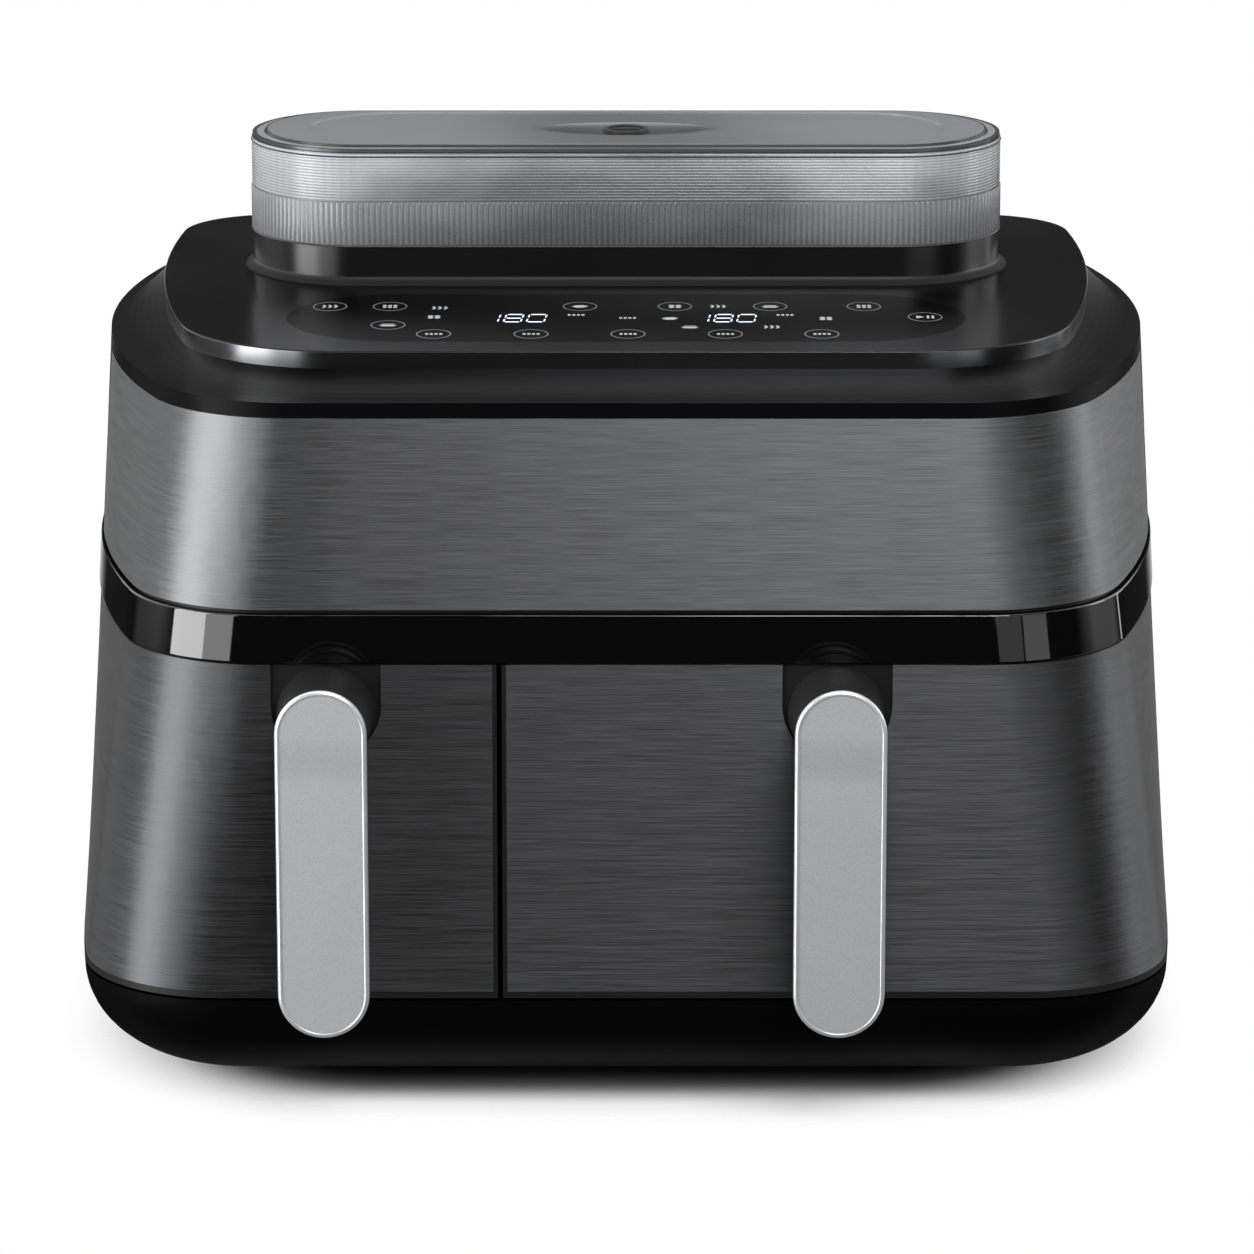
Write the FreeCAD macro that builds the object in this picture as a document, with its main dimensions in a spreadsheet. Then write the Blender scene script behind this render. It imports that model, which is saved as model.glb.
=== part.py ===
"""Dual-drawer steam air fryer, as a parametric document of separate pieces.

Millimetres, +Z up, the front faces -Y. Every piece is drawn about the middle of the body's plan and is then
set back by its Placement, so that the origin lies at the bottom centre of the whole object.
"""
import FreeCAD, Part
import math
import operator
import os

import Sketcher
from FreeCAD import Placement, Rotation, Vector

UP = Vector(0, 0, 1)
AXIS_TURNS = {
    "x": Rotation(Vector(0, 1, 0), 90),
    "y": Rotation(Vector(1, 0, 0), -90),
    "z": Rotation(),
}
SIGNS = {"+": operator.add, "-": operator.sub, "*": operator.mul, "/": operator.truediv}

DRIVING = {
    # Body: the outline at the base seam leans in to the outline at the lid rim
    "body_width": 461.0,
    "body_depth": 371.0,
    "side_lean": 14.0,
    "front_lean": 12.5,
    "foot_bow": 1180.0,
    "rim_bow": 342.0,
    "foot_corner": 60.0,
    "rim_corner": 62.0,
    # Heights, from the floor up
    "foot_height": 8.0,
    "base_height": 43.4,
    "seam_gap": 1.1,
    "drawer_height": 137.6,
    "band_gap": 0.6,
    "band_height": 19.9,
    "panel_gap": 1.8,
    "panel_height": 77.6,
    "rim_height": 6.0,
    "shoulder_rise": 5.2,
    "deck_rim": 7.3,
    "collar_height": 16.3,
    "tank_height": 39.5,
    # Walls and small fits
    "fit_gap": 0.3,
    "shaft_gap": 0.05,
    "skin_wall": 1.2,
    "housing_wall": 4.0,
    "base_wall": 3.0,
    "cover_wall": 2.6,
    "side_seam": 45.0,
    "rear_seam": 110.0,
    # Base
    "base_reach": 57.0,
    "base_corner": 16.0,
    "foot_radius": 13.0,
    "foot_stud": 4.0,
    "foot_spread_x": 140.0,
    "foot_spread_y": 98.0,
    "rib_width": 4.0,
    "rib_inset": 45.0,
    "shelf_setback": 6.0,
    "vent_slot": 4.0,
    "vent_slot_length": 60.0,
    "vent_slot_pitch": 12.0,
    # Trim band
    "band_proud": 0.9,
    "band_depth": 2.4,
    "band_round": 0.8,
    "ledge_wall": 2.5,
    # Top cover and control deck
    "rim_land": 4.0,
    "deck_width": 395.0,
    "deck_front": 134.0,
    "deck_rear": 151.0,
    "deck_bow": 620.0,
    "deck_bow_shift": 55.0,
    "deck_front_corner": 68.0,
    "deck_rear_corner": 40.0,
    "deck_plate": 3.6,
    "deck_wall": 3.0,
    "deck_edge": 0.7,
    "deck_ledge": 6.0,
    "glass_width": 279.0,
    "glass_depth": 93.0,
    "glass_wall": 2.0,
    "glass_y": 69.5,
    "window_width": 30.0,
    "window_depth": 16.0,
    "window_spread": 42.0,
    "board_width": 240.0,
    "board_depth": 64.0,
    "board_wall": 1.6,
    "board_drop": 8.0,
    "board_boss": 4.0,
    # Water tank, its lid and its collar
    "tank_width": 319.5,
    "tank_depth": 94.0,
    "tank_y": 44.0,
    "tank_wall": 2.4,
    "tank_nest": 10.0,
    "collar_wall": 3.0,
    "collar_flange": 3.4,
    "collar_foot": 0.7,
    "lid_flange": 1.2,
    "lid_inset": 6.0,
    "lid_rise": 2.2,
    "lid_skirt": 5.0,
    "lid_plate": 4.2,
    "panel_end": 24.0,
    "panel_side": 9.0,
    "panel_sink": 0.5,
    "dish_length": 84.0,
    "dish_width": 34.0,
    "dish_depth": 2.2,
    "plug_radius": 9.5,
    "plug_cap": 1.6,
    "plug_stem": 6.0,
    "plug_rim": 2.0,
    "valve_radius": 5.5,
    "valve_flange": 9.0,
    "valve_nose": 3.0,
    "socket_radius": 12.0,
    "spigot_radius": 6.0,
    "spigot_length": 17.0,
    # Drawers
    "divider_offset": 50.7,
    "divider_gap": 2.0,
    "slab_wall": 13.0,
    "wing_wall": 5.0,
    "lip_bottom": 2.7,
    "lip_side": 1.8,
    "left_handle_x": 120.0,
    "right_handle_x": 84.5,
    "handle_width": 38.0,
    "handle_length": 143.3,
    "handle_foot": 49.0,
    "handle_reach": 226.0,
    "handle_face": 5.0,
    "handle_grip": 9.0,
    "handle_bevel": 2.2,
    "handle_inlay": 0.4,
    "grip_inset": 1.0,
    "grip_round": 3.0,
    "arm_flare": 2.0,
    "notch_margin": 1.0,
    "screw_radius": 2.5,
    "screw_head": 4.6,
    "screw_head_height": 3.0,
    "screw_length": 26.0,
    "screw_spread": 16.0,
    # Cooking chambers, pans and plates
    "frame_setback": 42.0,
    "frame_wall": 3.0,
    "frame_margin": 3.0,
    "chamber_margin": 37.5,
    "chamber_spacing": 12.0,
    "chamber_wall": 1.0,
    "chamber_length": 227.0,
    "chamber_height": 130.0,
    "chamber_corner": 14.0,
    "runner_height": 2.5,
    "runner_width": 8.0,
    "runner_inset": 22.0,
    "pan_clearance": 3.2,
    "pan_length": 262.0,
    "pan_height": 110.0,
    "pan_wall": 1.2,
    "pan_draft": 4.0,
    "pan_corner": 30.0,
    "pan_rim": 1.6,
    "pan_lip": 1.5,
    "plate_margin": 3.0,
    "plate_wall": 2.0,
    "plate_lift": 14.0,
    "plate_slot": 6.0,
    "plate_slot_length": 26.0,
    "plate_slot_pitch_x": 14.0,
    "plate_slot_pitch_y": 34.0,
    "bumper_radius": 6.0,
    "bumper_inset": 20.0,
    # Hot air
    "left_fan_radius": 48.0,
    "right_fan_radius": 72.0,
    "shroud_clearance": 12.0,
    "shroud_flange": 5.0,
    "shroud_height": 40.0,
    "shroud_wall": 1.2,
    "heater_tube": 3.2,
    "heater_pitch": 11.0,
    "heater_lift": 7.0,
    "wheel_lift": 15.0,
    "wheel_height": 18.0,
    "wheel_plate": 1.2,
    "blade_wall": 1.2,
    "hub_radius": 9.0,
    "shaft_radius": 4.0,
    "motor_gap": 18.0,
    "motor_height": 32.0,
    "motor_radius": 30.0,
    "motor_flange": 3.0,
    "motor_post": 3.5,
    "cooling_radius": 38.0,
    "cooling_height": 9.0,
    "cooling_lift": 4.0,
    "cooling_gap": 3.0,
    "sensor_radius": 2.5,
    "sensor_length": 22.0,
    # Steam and electrics behind the chambers
    "rear_gap": 16.0,
    "pump_radius": 17.0,
    "pump_height": 62.0,
    "pump_port": 5.0,
    "boiler_width": 74.0,
    "boiler_depth": 34.0,
    "boiler_height": 84.0,
    "boiler_offset": 62.0,
    "boiler_fin": 3.0,
    "steam_spread": 26.0,
    "hose_radius": 5.0,
    "hose_bore": 3.0,
    "hose_bend": 14.0,
    "hose_rise": 40.0,
    "nozzle_setback": 18.0,
    "nozzle_height": 12.0,
    "power_width": 110.0,
    "power_height": 70.0,
    "power_x": 95.0,
    "power_lift": 40.0,
    "switch_width": 20.0,
    "switch_depth": 12.0,
    "switch_height": 8.0,
    # Rear
    "spacer_depth": 2.0,
    "spacer_width": 6.0,
    "spacer_height": 100.0,
    "spacer_x": 150.0,
    "grille_width": 190.0,
    "grille_height": 44.0,
    "grille_lift": 20.0,
    "grille_slot": 3.6,
    "grille_pitch": 6.6,
    "grille_frame": 6.0,
    "gland_x": 120.0,
    "gland_lift": 34.0,
    "gland_neck": 8.0,
    "gland_flange": 11.0,
    "gland_cap": 2.2,
    "gland_bore": 3.7,
}


class Formula:
    """A length of the model: an expression on the sheet, with its present value."""

    def __init__(self, text, value):
        self.text = text
        self.value = value

    def __add__(self, other):
        return join(self, "+", other)

    def __radd__(self, other):
        return join(other, "+", self)

    def __sub__(self, other):
        return join(self, "-", other)

    def __rsub__(self, other):
        return join(other, "-", self)

    def __mul__(self, other):
        return join(self, "*", other)

    def __rmul__(self, other):
        return join(other, "*", self)

    def __truediv__(self, other):
        return join(self, "/", other)

    def __neg__(self):
        return join(0, "-", self)


def formula(amount):
    """Return a number or a formula as a formula."""
    if isinstance(amount, Formula):
        return amount
    return Formula(repr(float(amount)), float(amount))


def join(left, sign, right):
    """Combine two amounts, as an expression and as a value."""
    first = formula(left)
    second = formula(right)
    text = "(%s %s %s)" % (first.text, sign, second.text)
    return Formula(text, SIGNS[sign](first.value, second.value))


class Sizes:
    """The sheet's cells by alias."""

    def __getattr__(self, alias):
        return Formula("Size." + alias, float(sheet.get(alias)))


doc = FreeCAD.newDocument("air_fryer")
sheet = doc.addObject("Spreadsheet::Sheet", "Size")
for row, (alias, amount) in enumerate(DRIVING.items(), start=1):
    sheet.set("A%d" % row, alias)
    sheet.set("B%d" % row, str(amount))
    sheet.setAlias("B%d" % row, alias)
doc.recompute()
d = Sizes()
parts = []

# Heights of the seams
BASE_TOP = d.foot_height + d.base_height
DRAWER_Z = BASE_TOP + d.seam_gap
DRAWER_TOP = DRAWER_Z + d.drawer_height
BAND_Z = DRAWER_TOP + d.band_gap
BAND_TOP = BAND_Z + d.band_height
PANEL_Z = BAND_TOP + d.panel_gap
LID_Z = PANEL_Z + d.panel_height
RIM_Z = LID_Z + d.rim_height
DECK_FOOT = RIM_Z + d.shoulder_rise
DECK_Z = DECK_FOOT + d.deck_rim
COLLAR_TOP = DECK_Z + d.collar_height
TANK_Z = COLLAR_TOP + d.fit_gap
TANK_TOP = TANK_Z + d.tank_height
LID_SEAT = TANK_TOP + d.fit_gap

# Places in plan and heights of the pieces inside
HALF_WIDTH = d.body_width / 2
HALF_DEPTH = d.body_depth / 2
RIM_FRONT = d.front_lean - HALF_DEPTH
DIVIDER_X = -d.divider_offset
SLAB_BACK = RIM_FRONT + d.slab_wall
FRAME_Y = SLAB_BACK + d.frame_setback
CHAMBER_Y = FRAME_Y + d.frame_wall
CHAMBER_REAR = CHAMBER_Y + d.chamber_length
CHAMBER_Z = DRAWER_Z
CHAMBER_TOP = CHAMBER_Z + d.chamber_height
PAN_Z = CHAMBER_Z + d.chamber_wall + d.runner_height + d.fit_gap
FAN_Y = (CHAMBER_Y + CHAMBER_REAR) / 2
SHROUD_TOP = CHAMBER_TOP + d.shroud_height
MOTOR_Z = SHROUD_TOP + d.motor_gap
BOARD_TOP = DECK_Z - d.deck_plate - d.board_drop
REAR_REACH = HALF_DEPTH + d.spacer_depth
SET_BACK = (d.handle_reach - REAR_REACH) / 2
FAR = d.body_width + d.body_depth
ARM_Z = d.handle_foot + d.handle_length - d.handle_width / 2
GRIP_FRONT = d.handle_face - d.handle_reach
GRIP_BACK = GRIP_FRONT + d.handle_grip
PAN_TOP = PAN_Z + d.pan_height
PLATE_Z = PAN_Z + d.pan_wall + d.fit_gap + d.plate_lift
POWER_Y = CHAMBER_REAR + d.rear_gap
GLAND_Z = BASE_TOP + d.gland_lift
BEHIND_Y = CHAMBER_REAR + d.rear_gap + d.boiler_depth / 2
NOZZLE_Y = CHAMBER_REAR - d.nozzle_setback
WHEEL_Z = CHAMBER_TOP + d.wheel_lift
POST_REACH = d.cooling_radius + d.motor_post + d.cooling_gap
SPIGOT_END = DECK_Z - d.spigot_length

# Turns of the heater's tube about the fan, in degrees
START_TURN = 60
END_TURN = 30
TURN_BACK = 340


def bind(target, path, amount):
    """Tie a property of an object to the sheet."""
    target.setExpression(path, formula(amount).text)


def add_part(label, piece, place_y=0):
    """Name a finished piece and set it in the frame of the whole object."""
    piece.Label = label
    bind(piece, "Placement.Base.y", SET_BACK + place_y)
    parts.append(piece)
    return piece


# Primitives and booleans


def block(name, x_span, y_span, z_span):
    """Return a box between three pairs of limits."""
    box = doc.addObject("Part::Box", name)
    for path, axis, span in (("Length", "x", x_span), ("Width", "y", y_span), ("Height", "z", z_span)):
        bind(box, path, formula(span[1]) - span[0])
        bind(box, "Placement.Base." + axis, span[0])
    return box


def rod(name, radius, start, length, along="z"):
    """Return a cylinder from a start point, along an axis."""
    cylinder = doc.addObject("Part::Cylinder", name)
    cylinder.Placement = Placement(Vector(), AXIS_TURNS[along])
    bind(cylinder, "Radius", radius)
    bind(cylinder, "Height", length)
    for axis, amount in zip("xyz", start):
        bind(cylinder, "Placement.Base." + axis, amount)
    return cylinder


def cut(name, base, *tools):
    """Cut each tool from a base in turn."""
    for tool in tools:
        result = doc.addObject("Part::Cut", name + "_cut")
        result.Base = base
        result.Tool = tool
        base = result
    return base


def pierce(name, base, tools):
    """Cut many tools that stand apart from a base at once."""
    return cut(name, base, group(name + "_tools", tools))


def fuse(name, *pieces):
    """Join pieces into one."""
    result = doc.addObject("Part::MultiFuse", name + "_fuse")
    result.Shapes = list(pieces)
    result.Refine = True
    return result


def overlap(name, *pieces):
    """Keep what all the pieces share."""
    result = doc.addObject("Part::MultiCommon", name + "_common")
    result.Shapes = list(pieces)
    return result


def group(name, pieces):
    """Hold separate solids of one kind in one piece."""
    result = doc.addObject("Part::Compound", name + "_group")
    result.Links = list(pieces)
    return result


# Sketches


def draw(body, plane, at):
    """Add a sketch on a plane of a body, with its origin at a point of the model."""
    sketch = body.newObject("Sketcher::SketchObject", body.Name + "_sketch")
    support = next(f for f in body.Origin.OriginFeatures if f.Role == plane)
    sketch.AttachmentSupport = [(support, "")]
    sketch.MapMode = "FlatFace"
    x, y, z = (formula(amount) for amount in at)
    local = {"XY_Plane": (x, y, z), "XZ_Plane": (x, z, -y), "YZ_Plane": (y, z, x)}[plane]
    for axis, amount in zip("xyz", local):
        bind(sketch, "AttachmentOffset.Base." + axis, amount)
    return sketch


def measure(sketch, kind, where, amount):
    """Add a dimension to a sketch and tie it to the sheet."""
    index = sketch.addConstraint(Sketcher.Constraint(kind, *where, formula(amount).value))
    bind(sketch, "Constraints[%d]" % index, amount)


def close_loop(sketch, loop, kind="Tangent"):
    """Join the end of each curve to the start of the next."""
    for here, after in zip(loop, loop[1:] + loop[:1]):
        sketch.addConstraint(Sketcher.Constraint(kind, here, 2, after, 1))


def line(sketch, start, end):
    return sketch.addGeometry(Part.LineSegment(Vector(*start, 0), Vector(*end, 0)))


def arc(sketch, centre, radius, start, end):
    circle = Part.Circle(Vector(*centre, 0), UP, radius)
    return sketch.addGeometry(Part.ArcOfCircle(circle, math.radians(start), math.radians(end)))


def draw_circle(sketch, radius, x=0, y=0):
    """Draw a circle, with its centre measured from the sketch's origin."""
    x = formula(x)
    y = formula(y)
    circle = sketch.addGeometry(Part.Circle(Vector(x.value, y.value, 0), UP, formula(radius).value))
    measure(sketch, "Radius", (circle,), radius)
    if x.value == 0 and y.value == 0:
        sketch.addConstraint(Sketcher.Constraint("Coincident", circle, 3, -1, 1))
        return
    measure(sketch, "DistanceX", (-1, 1, circle, 3), x)
    measure(sketch, "DistanceY", (-1, 1, circle, 3), y)


def draw_rectangle(sketch, width, height, corner):
    """Draw a rectangle with round corners about the sketch's origin."""
    w = formula(width).value / 2
    h = formula(height).value / 2
    r = formula(corner).value
    loop = [
        line(sketch, (r - w, -h), (w - r, -h)),
        arc(sketch, (w - r, r - h), r, -90, 0),
        line(sketch, (w, r - h), (w, h - r)),
        arc(sketch, (w - r, h - r), r, 0, 90),
        line(sketch, (w - r, h), (r - w, h)),
        arc(sketch, (r - w, h - r), r, 90, 180),
        line(sketch, (-w, h - r), (-w, r - h)),
        arc(sketch, (r - w, r - h), r, 180, 270),
    ]
    close_loop(sketch, loop)
    for flat in (loop[0], loop[4]):
        sketch.addConstraint(Sketcher.Constraint("Horizontal", flat))
    for upright in (loop[2], loop[6]):
        sketch.addConstraint(Sketcher.Constraint("Vertical", upright))
    for bend in (loop[3], loop[5], loop[7]):
        sketch.addConstraint(Sketcher.Constraint("Equal", loop[1], bend))
    sketch.addConstraint(Sketcher.Constraint("Symmetric", loop[1], 3, loop[5], 3, -1, 1))
    measure(sketch, "Radius", (loop[1],), corner)
    measure(sketch, "DistanceX", (loop[6], 1, loop[2], 1), width)
    measure(sketch, "DistanceY", (loop[0], 1, loop[4], 1), height)


def draw_stadium(sketch, length, width, upright=False):
    """Draw a slot with half-round ends about the sketch's origin."""
    r = formula(width).value / 2
    reach = formula(length).value / 2 - r
    if upright:
        loop = [
            line(sketch, (r, -reach), (r, reach)),
            arc(sketch, (0, reach), r, 0, 180),
            line(sketch, (-r, reach), (-r, -reach)),
            arc(sketch, (0, -reach), r, 180, 360),
        ]
        run, straight = "DistanceY", "Vertical"
    else:
        loop = [
            line(sketch, (-reach, -r), (reach, -r)),
            arc(sketch, (reach, 0), r, -90, 90),
            line(sketch, (reach, r), (-reach, r)),
            arc(sketch, (-reach, 0), r, 90, 270),
        ]
        run, straight = "DistanceX", "Horizontal"
    close_loop(sketch, loop)
    sketch.addConstraint(Sketcher.Constraint(straight, loop[0]))
    sketch.addConstraint(Sketcher.Constraint("Equal", loop[1], loop[3]))
    sketch.addConstraint(Sketcher.Constraint("Symmetric", loop[1], 3, loop[3], 3, -1, 1))
    measure(sketch, "Radius", (loop[1],), formula(width) / 2)
    measure(sketch, run, (loop[0], 1, loop[0], 2), formula(length) - width)


def draw_polygon(sketch, corners):
    """Draw a closed polygon through corners measured from the sketch's origin."""
    points = [(formula(x), formula(y)) for x, y in corners]
    loop = []
    for here, after in zip(points, points[1:] + points[:1]):
        loop.append(line(sketch, (here[0].value, here[1].value), (after[0].value, after[1].value)))
    close_loop(sketch, loop, "Coincident")
    for side, (x, y) in zip(loop, points):
        for kind, axis, amount in (("DistanceX", -2, x), ("DistanceY", -1, y)):
            if amount.value == 0:
                sketch.addConstraint(Sketcher.Constraint("PointOnObject", side, 1, axis))
            else:
                measure(sketch, kind, (-1, 1, side, 1), amount)


class Outline:
    """A plan outline: straight front and rear, bowed sides and round corners."""

    def __init__(self, half_width, bow, bow_shift, front, front_corner, rear, rear_corner):
        self.sizes = [formula(amount) for amount in (
            half_width, bow, bow_shift, front, front_corner, rear, rear_corner)]

    def inset(self, amount):
        """Return the outline moved inwards all round."""
        half_width, bow, bow_shift, front, front_corner, rear, rear_corner = self.sizes
        return Outline(half_width - amount, bow - amount, bow_shift, front + amount,
                       front_corner - amount, rear - amount, rear_corner - amount)

    def blend(self, other, share):
        """Return an outline part of the way to another."""
        return Outline(*(a + (b - a) * share for a, b in zip(self.sizes, other.sizes)))

    def draw(self, sketch):
        """Draw the outline in a sketch about the middle of the body."""
        half_width, bow, bow_shift, front, front_corner, rear, rear_corner = self.sizes
        side = Vector((half_width - bow).value, bow_shift.value, 0)
        ends = []
        for edge, corner, way in ((front, front_corner, 1), (rear, rear_corner, -1)):
            height = edge.value + way * corner.value
            reach = math.sqrt((bow.value - corner.value) ** 2 - (height - side.y) ** 2)
            turn = math.degrees(math.atan2(height - side.y, reach))
            ends.append((side.x + reach, height, corner.value, turn))
        (fx, fy, fr, ft), (rx, ry, rr, rt) = ends
        loop = [
            line(sketch, (-fx, fy - fr), (fx, fy - fr)),
            arc(sketch, (fx, fy), fr, -90, ft),
            arc(sketch, (side.x, side.y), bow.value, ft, rt),
            arc(sketch, (rx, ry), rr, rt, 90),
            line(sketch, (rx, ry + rr), (-rx, ry + rr)),
            arc(sketch, (-rx, ry), rr, 90, 180 - rt),
            arc(sketch, (-side.x, side.y), bow.value, 180 - rt, 180 - ft),
            arc(sketch, (-fx, fy), fr, 180 - ft, 270),
        ]
        close_loop(sketch, loop)
        for flat in (loop[0], loop[4]):
            sketch.addConstraint(Sketcher.Constraint("Horizontal", flat))
        for bend, radius in ((loop[1], front_corner), (loop[7], front_corner), (loop[2], bow),
                             (loop[6], bow), (loop[3], rear_corner), (loop[5], rear_corner)):
            measure(sketch, "Radius", (bend,), radius)
        for bend, x in ((loop[2], half_width - bow), (loop[6], bow - half_width)):
            measure(sketch, "DistanceX", (-1, 1, bend, 3), x)
            if bow_shift.value == 0:
                sketch.addConstraint(Sketcher.Constraint("PointOnObject", bend, 3, -1))
            else:
                measure(sketch, "DistanceY", (-1, 1, bend, 3), bow_shift)
        measure(sketch, "DistanceY", (-1, 1, loop[0], 1), front)
        measure(sketch, "DistanceY", (-1, 1, loop[4], 1), rear)


FOOT = Outline(HALF_WIDTH, d.foot_bow, 0, -HALF_DEPTH, d.foot_corner, HALF_DEPTH, d.foot_corner)
RIM = Outline(HALF_WIDTH - d.side_lean, d.rim_bow, 0, RIM_FRONT, d.rim_corner, -RIM_FRONT, d.rim_corner)
DECK = Outline(d.deck_width / 2, d.deck_bow, d.deck_bow_shift, -d.deck_front, d.deck_front_corner,
               d.deck_rear, d.deck_rear_corner)


def free_outline(name, outline, height):
    """Draw an outline in a sketch of its own at a height."""
    sketch = doc.addObject("Sketcher::SketchObject", name)
    bind(sketch, "Placement.Base.z", height)
    outline.draw(sketch)
    return sketch


def loft(name, sections, ruled=True):
    """Loft a solid through sketches."""
    result = doc.addObject("Part::Loft", name)
    result.Sections = sections
    result.Solid = True
    result.Ruled = ruled
    return result


def prism(name, sketch, height):
    """Extrude a free sketch upwards."""
    result = doc.addObject("Part::Extrusion", name)
    result.Base = sketch
    result.DirMode = "Custom"
    result.Dir = UP
    result.Solid = True
    bind(result, "LengthFwd", height)
    return result


hulls = {}


def hull(amount):
    """Return the leaning body from the base seam to the rim, inset by an amount."""
    amount = formula(amount)
    if amount.text not in hulls:
        foot = free_outline("hull_foot", FOOT.inset(amount), BASE_TOP)
        rim = free_outline("hull_rim", RIM.inset(amount), RIM_Z)
        hulls[amount.text] = loft("hull", [foot, rim])
    return hulls[amount.text]


def hull_depth(height):
    """Return the distance from the middle to the body's rear face at a height."""
    return HALF_DEPTH - d.front_lean * (height - BASE_TOP) / (RIM_Z - BASE_TOP)


# Features of a body


def new_body(name):
    return doc.addObject("PartDesign::Body", name + "_body")


def feature(body, kind, sketch, **settings):
    """Add a sketched feature to a body."""
    result = body.newObject("PartDesign::" + kind, "%s_%s" % (body.Name, kind.lower()))
    result.Profile = sketch
    for name, setting in settings.items():
        if isinstance(setting, (Formula, int, float)) and not isinstance(setting, bool):
            bind(result, name, setting)
        else:
            setattr(result, name, setting)
    body.Tip = result
    return result


def pad(body, sketch, length, backwards=False):
    return feature(body, "Pad", sketch, Length=length, Reversed=backwards)


def pocket(body, sketch, length, backwards=False):
    return feature(body, "Pocket", sketch, Length=length, Reversed=backwards)


def revolve(body, sketch):
    return feature(body, "Revolution", sketch, ReferenceAxis=(sketch, ["V_Axis"]), Angle=360)


def loft_body(body, kind, first, last):
    return feature(body, kind, first, Sections=[last], Ruled=True)


def round_edges(body, base, radius, chosen, kind="Fillet", setting="Radius"):
    """Round or bevel the edges of a feature that a test chooses."""
    doc.recompute()
    names = ["Edge%d" % number for number, edge in enumerate(base.Shape.Edges, start=1) if chosen(edge)]
    result = body.newObject("PartDesign::" + kind, "%s_%s" % (body.Name, kind.lower()))
    result.Base = (base, names)
    bind(result, setting, radius)
    body.Tip = result
    return result


def at_height(height):
    """Return a test for edges that lie flat at a height."""
    level = formula(height).value
    return lambda edge: all(abs(vertex.Z - level) < 1e-4 for vertex in edge.Vertexes)


def at_front(place):
    """Return a test for edges that lie in an upright plane."""
    level = formula(place).value
    return lambda edge: all(abs(vertex.Y - level) < 1e-4 for vertex in edge.Vertexes)


def slots(body, width, length, at, depth, columns, rows, pitch_x, pitch_y):
    """Cut a grid of straight slots downwards, centred about a point."""
    x, y, z = at
    start = (x - pitch_x * (columns - 1) / 2, y - pitch_y * (rows - 1) / 2, z)
    sketch = draw(body, "XY_Plane", start)
    draw_stadium(sketch, length, width, upright=True)
    first = pocket(body, sketch, depth)
    grid = body.newObject("PartDesign::MultiTransform", body.Name + "_grid")
    grid.Originals = [first]
    runs = []
    for axis, count, pitch in (("H_Axis", columns, pitch_x), ("V_Axis", rows, pitch_y)):
        if count > 1:
            run = body.newObject("PartDesign::LinearPattern", body.Name + "_run")
            run.Direction = (sketch, [axis])
            run.Occurrences = count
            bind(run, "Length", pitch * (count - 1))
            runs.append(run)
    grid.Transformations = runs
    body.Tip = grid
    return grid


# Outer shell


rings = {}


def ring(outer, inner):
    """Return the wall of the leaning body between two insets."""
    key = (formula(outer).text, formula(inner).text)
    if key not in rings:
        rings[key] = cut("ring", hull(outer), hull(inner))
    return rings[key]


def everywhere(y_span=(-FAR, FAR), z_span=(-FAR, FAR), x_span=(-FAR, FAR)):
    """Return a box that is limited only where a span is given."""
    return block("zone", x_span, y_span, z_span)


def foot_places():
    """Return where the four feet stand."""
    return [(x, y) for x in (-d.foot_spread_x, d.foot_spread_x) for y in (-d.foot_spread_y, d.foot_spread_y)]


def build_base():
    """The rounded tray that the body stands on, its ribs, vents and feet."""
    steps = 6
    flat = Outline(HALF_WIDTH - d.base_reach, d.foot_bow, 0, d.base_reach - HALF_DEPTH, d.base_corner,
                   HALF_DEPTH - d.base_reach, d.base_corner)
    bowls = []
    for wall in (formula(0), d.base_wall):
        sections = []
        for step in range(steps + 1):
            angle = math.radians(90 * step / steps)
            outline = FOOT.inset(wall).blend(flat, 1 - math.cos(angle))
            height = BASE_TOP - (d.base_height - wall) * math.sin(angle)
            sections.append(free_outline("bowl_section", outline, height))
        bowls.append(loft("bowl", sections, ruled=False))
    floor_z = d.foot_height + d.base_wall
    half = HALF_WIDTH - d.base_reach
    ribs = []
    for y in (CHAMBER_Y + d.rib_inset, CHAMBER_REAR - d.rib_inset):
        ribs.append(block("base_rib", (-half, half), (y, y + d.rib_width),
                          (floor_z - d.base_wall / 2, CHAMBER_Z)))
    shelf = block("shelf", (-half, half), (CHAMBER_REAR + d.shelf_setback, FAR),
                  (BASE_TOP - d.base_wall, BASE_TOP))
    ribs.append(overlap("rear_shelf", bowls[0], shelf))
    holes = [rod("foot_hole", d.foot_stud + d.fit_gap, (x, y, 0), floor_z + d.base_wall)
             for x, y in foot_places()]
    count = 9
    for column in range(count):
        x = d.vent_slot_pitch * (column - (count - 1) / 2) - d.vent_slot / 2
        holes.append(block("vent_slot", (x, x + d.vent_slot),
                           (-d.vent_slot_length / 2, d.vent_slot_length / 2), (0, floor_z + d.base_wall)))
    hollow = pierce("base", cut("base_hollow", *bowls), holes)
    add_part("base_shell", fuse("base", hollow, *ribs))

    feet = []
    for x, y in foot_places():
        disc = rod("foot_disc", d.foot_radius, (x, y, 0), d.foot_height)
        stud = rod("foot_stud", d.foot_stud, (x, y, d.foot_height / 2), d.foot_height / 2 + d.base_wall)
        feet.append(fuse("foot", disc, stud))
    add_part("foot_pads", group("foot_pads", feet))


def grille_window(gap):
    """Return the opening in the rear wall, with a gap taken off all round."""
    top = LID_Z - d.grille_lift
    half = d.grille_width / 2
    return block("grille_window", (gap - half, half - gap), (0, FAR),
                 (top - d.grille_height + gap, top - gap))


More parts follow.
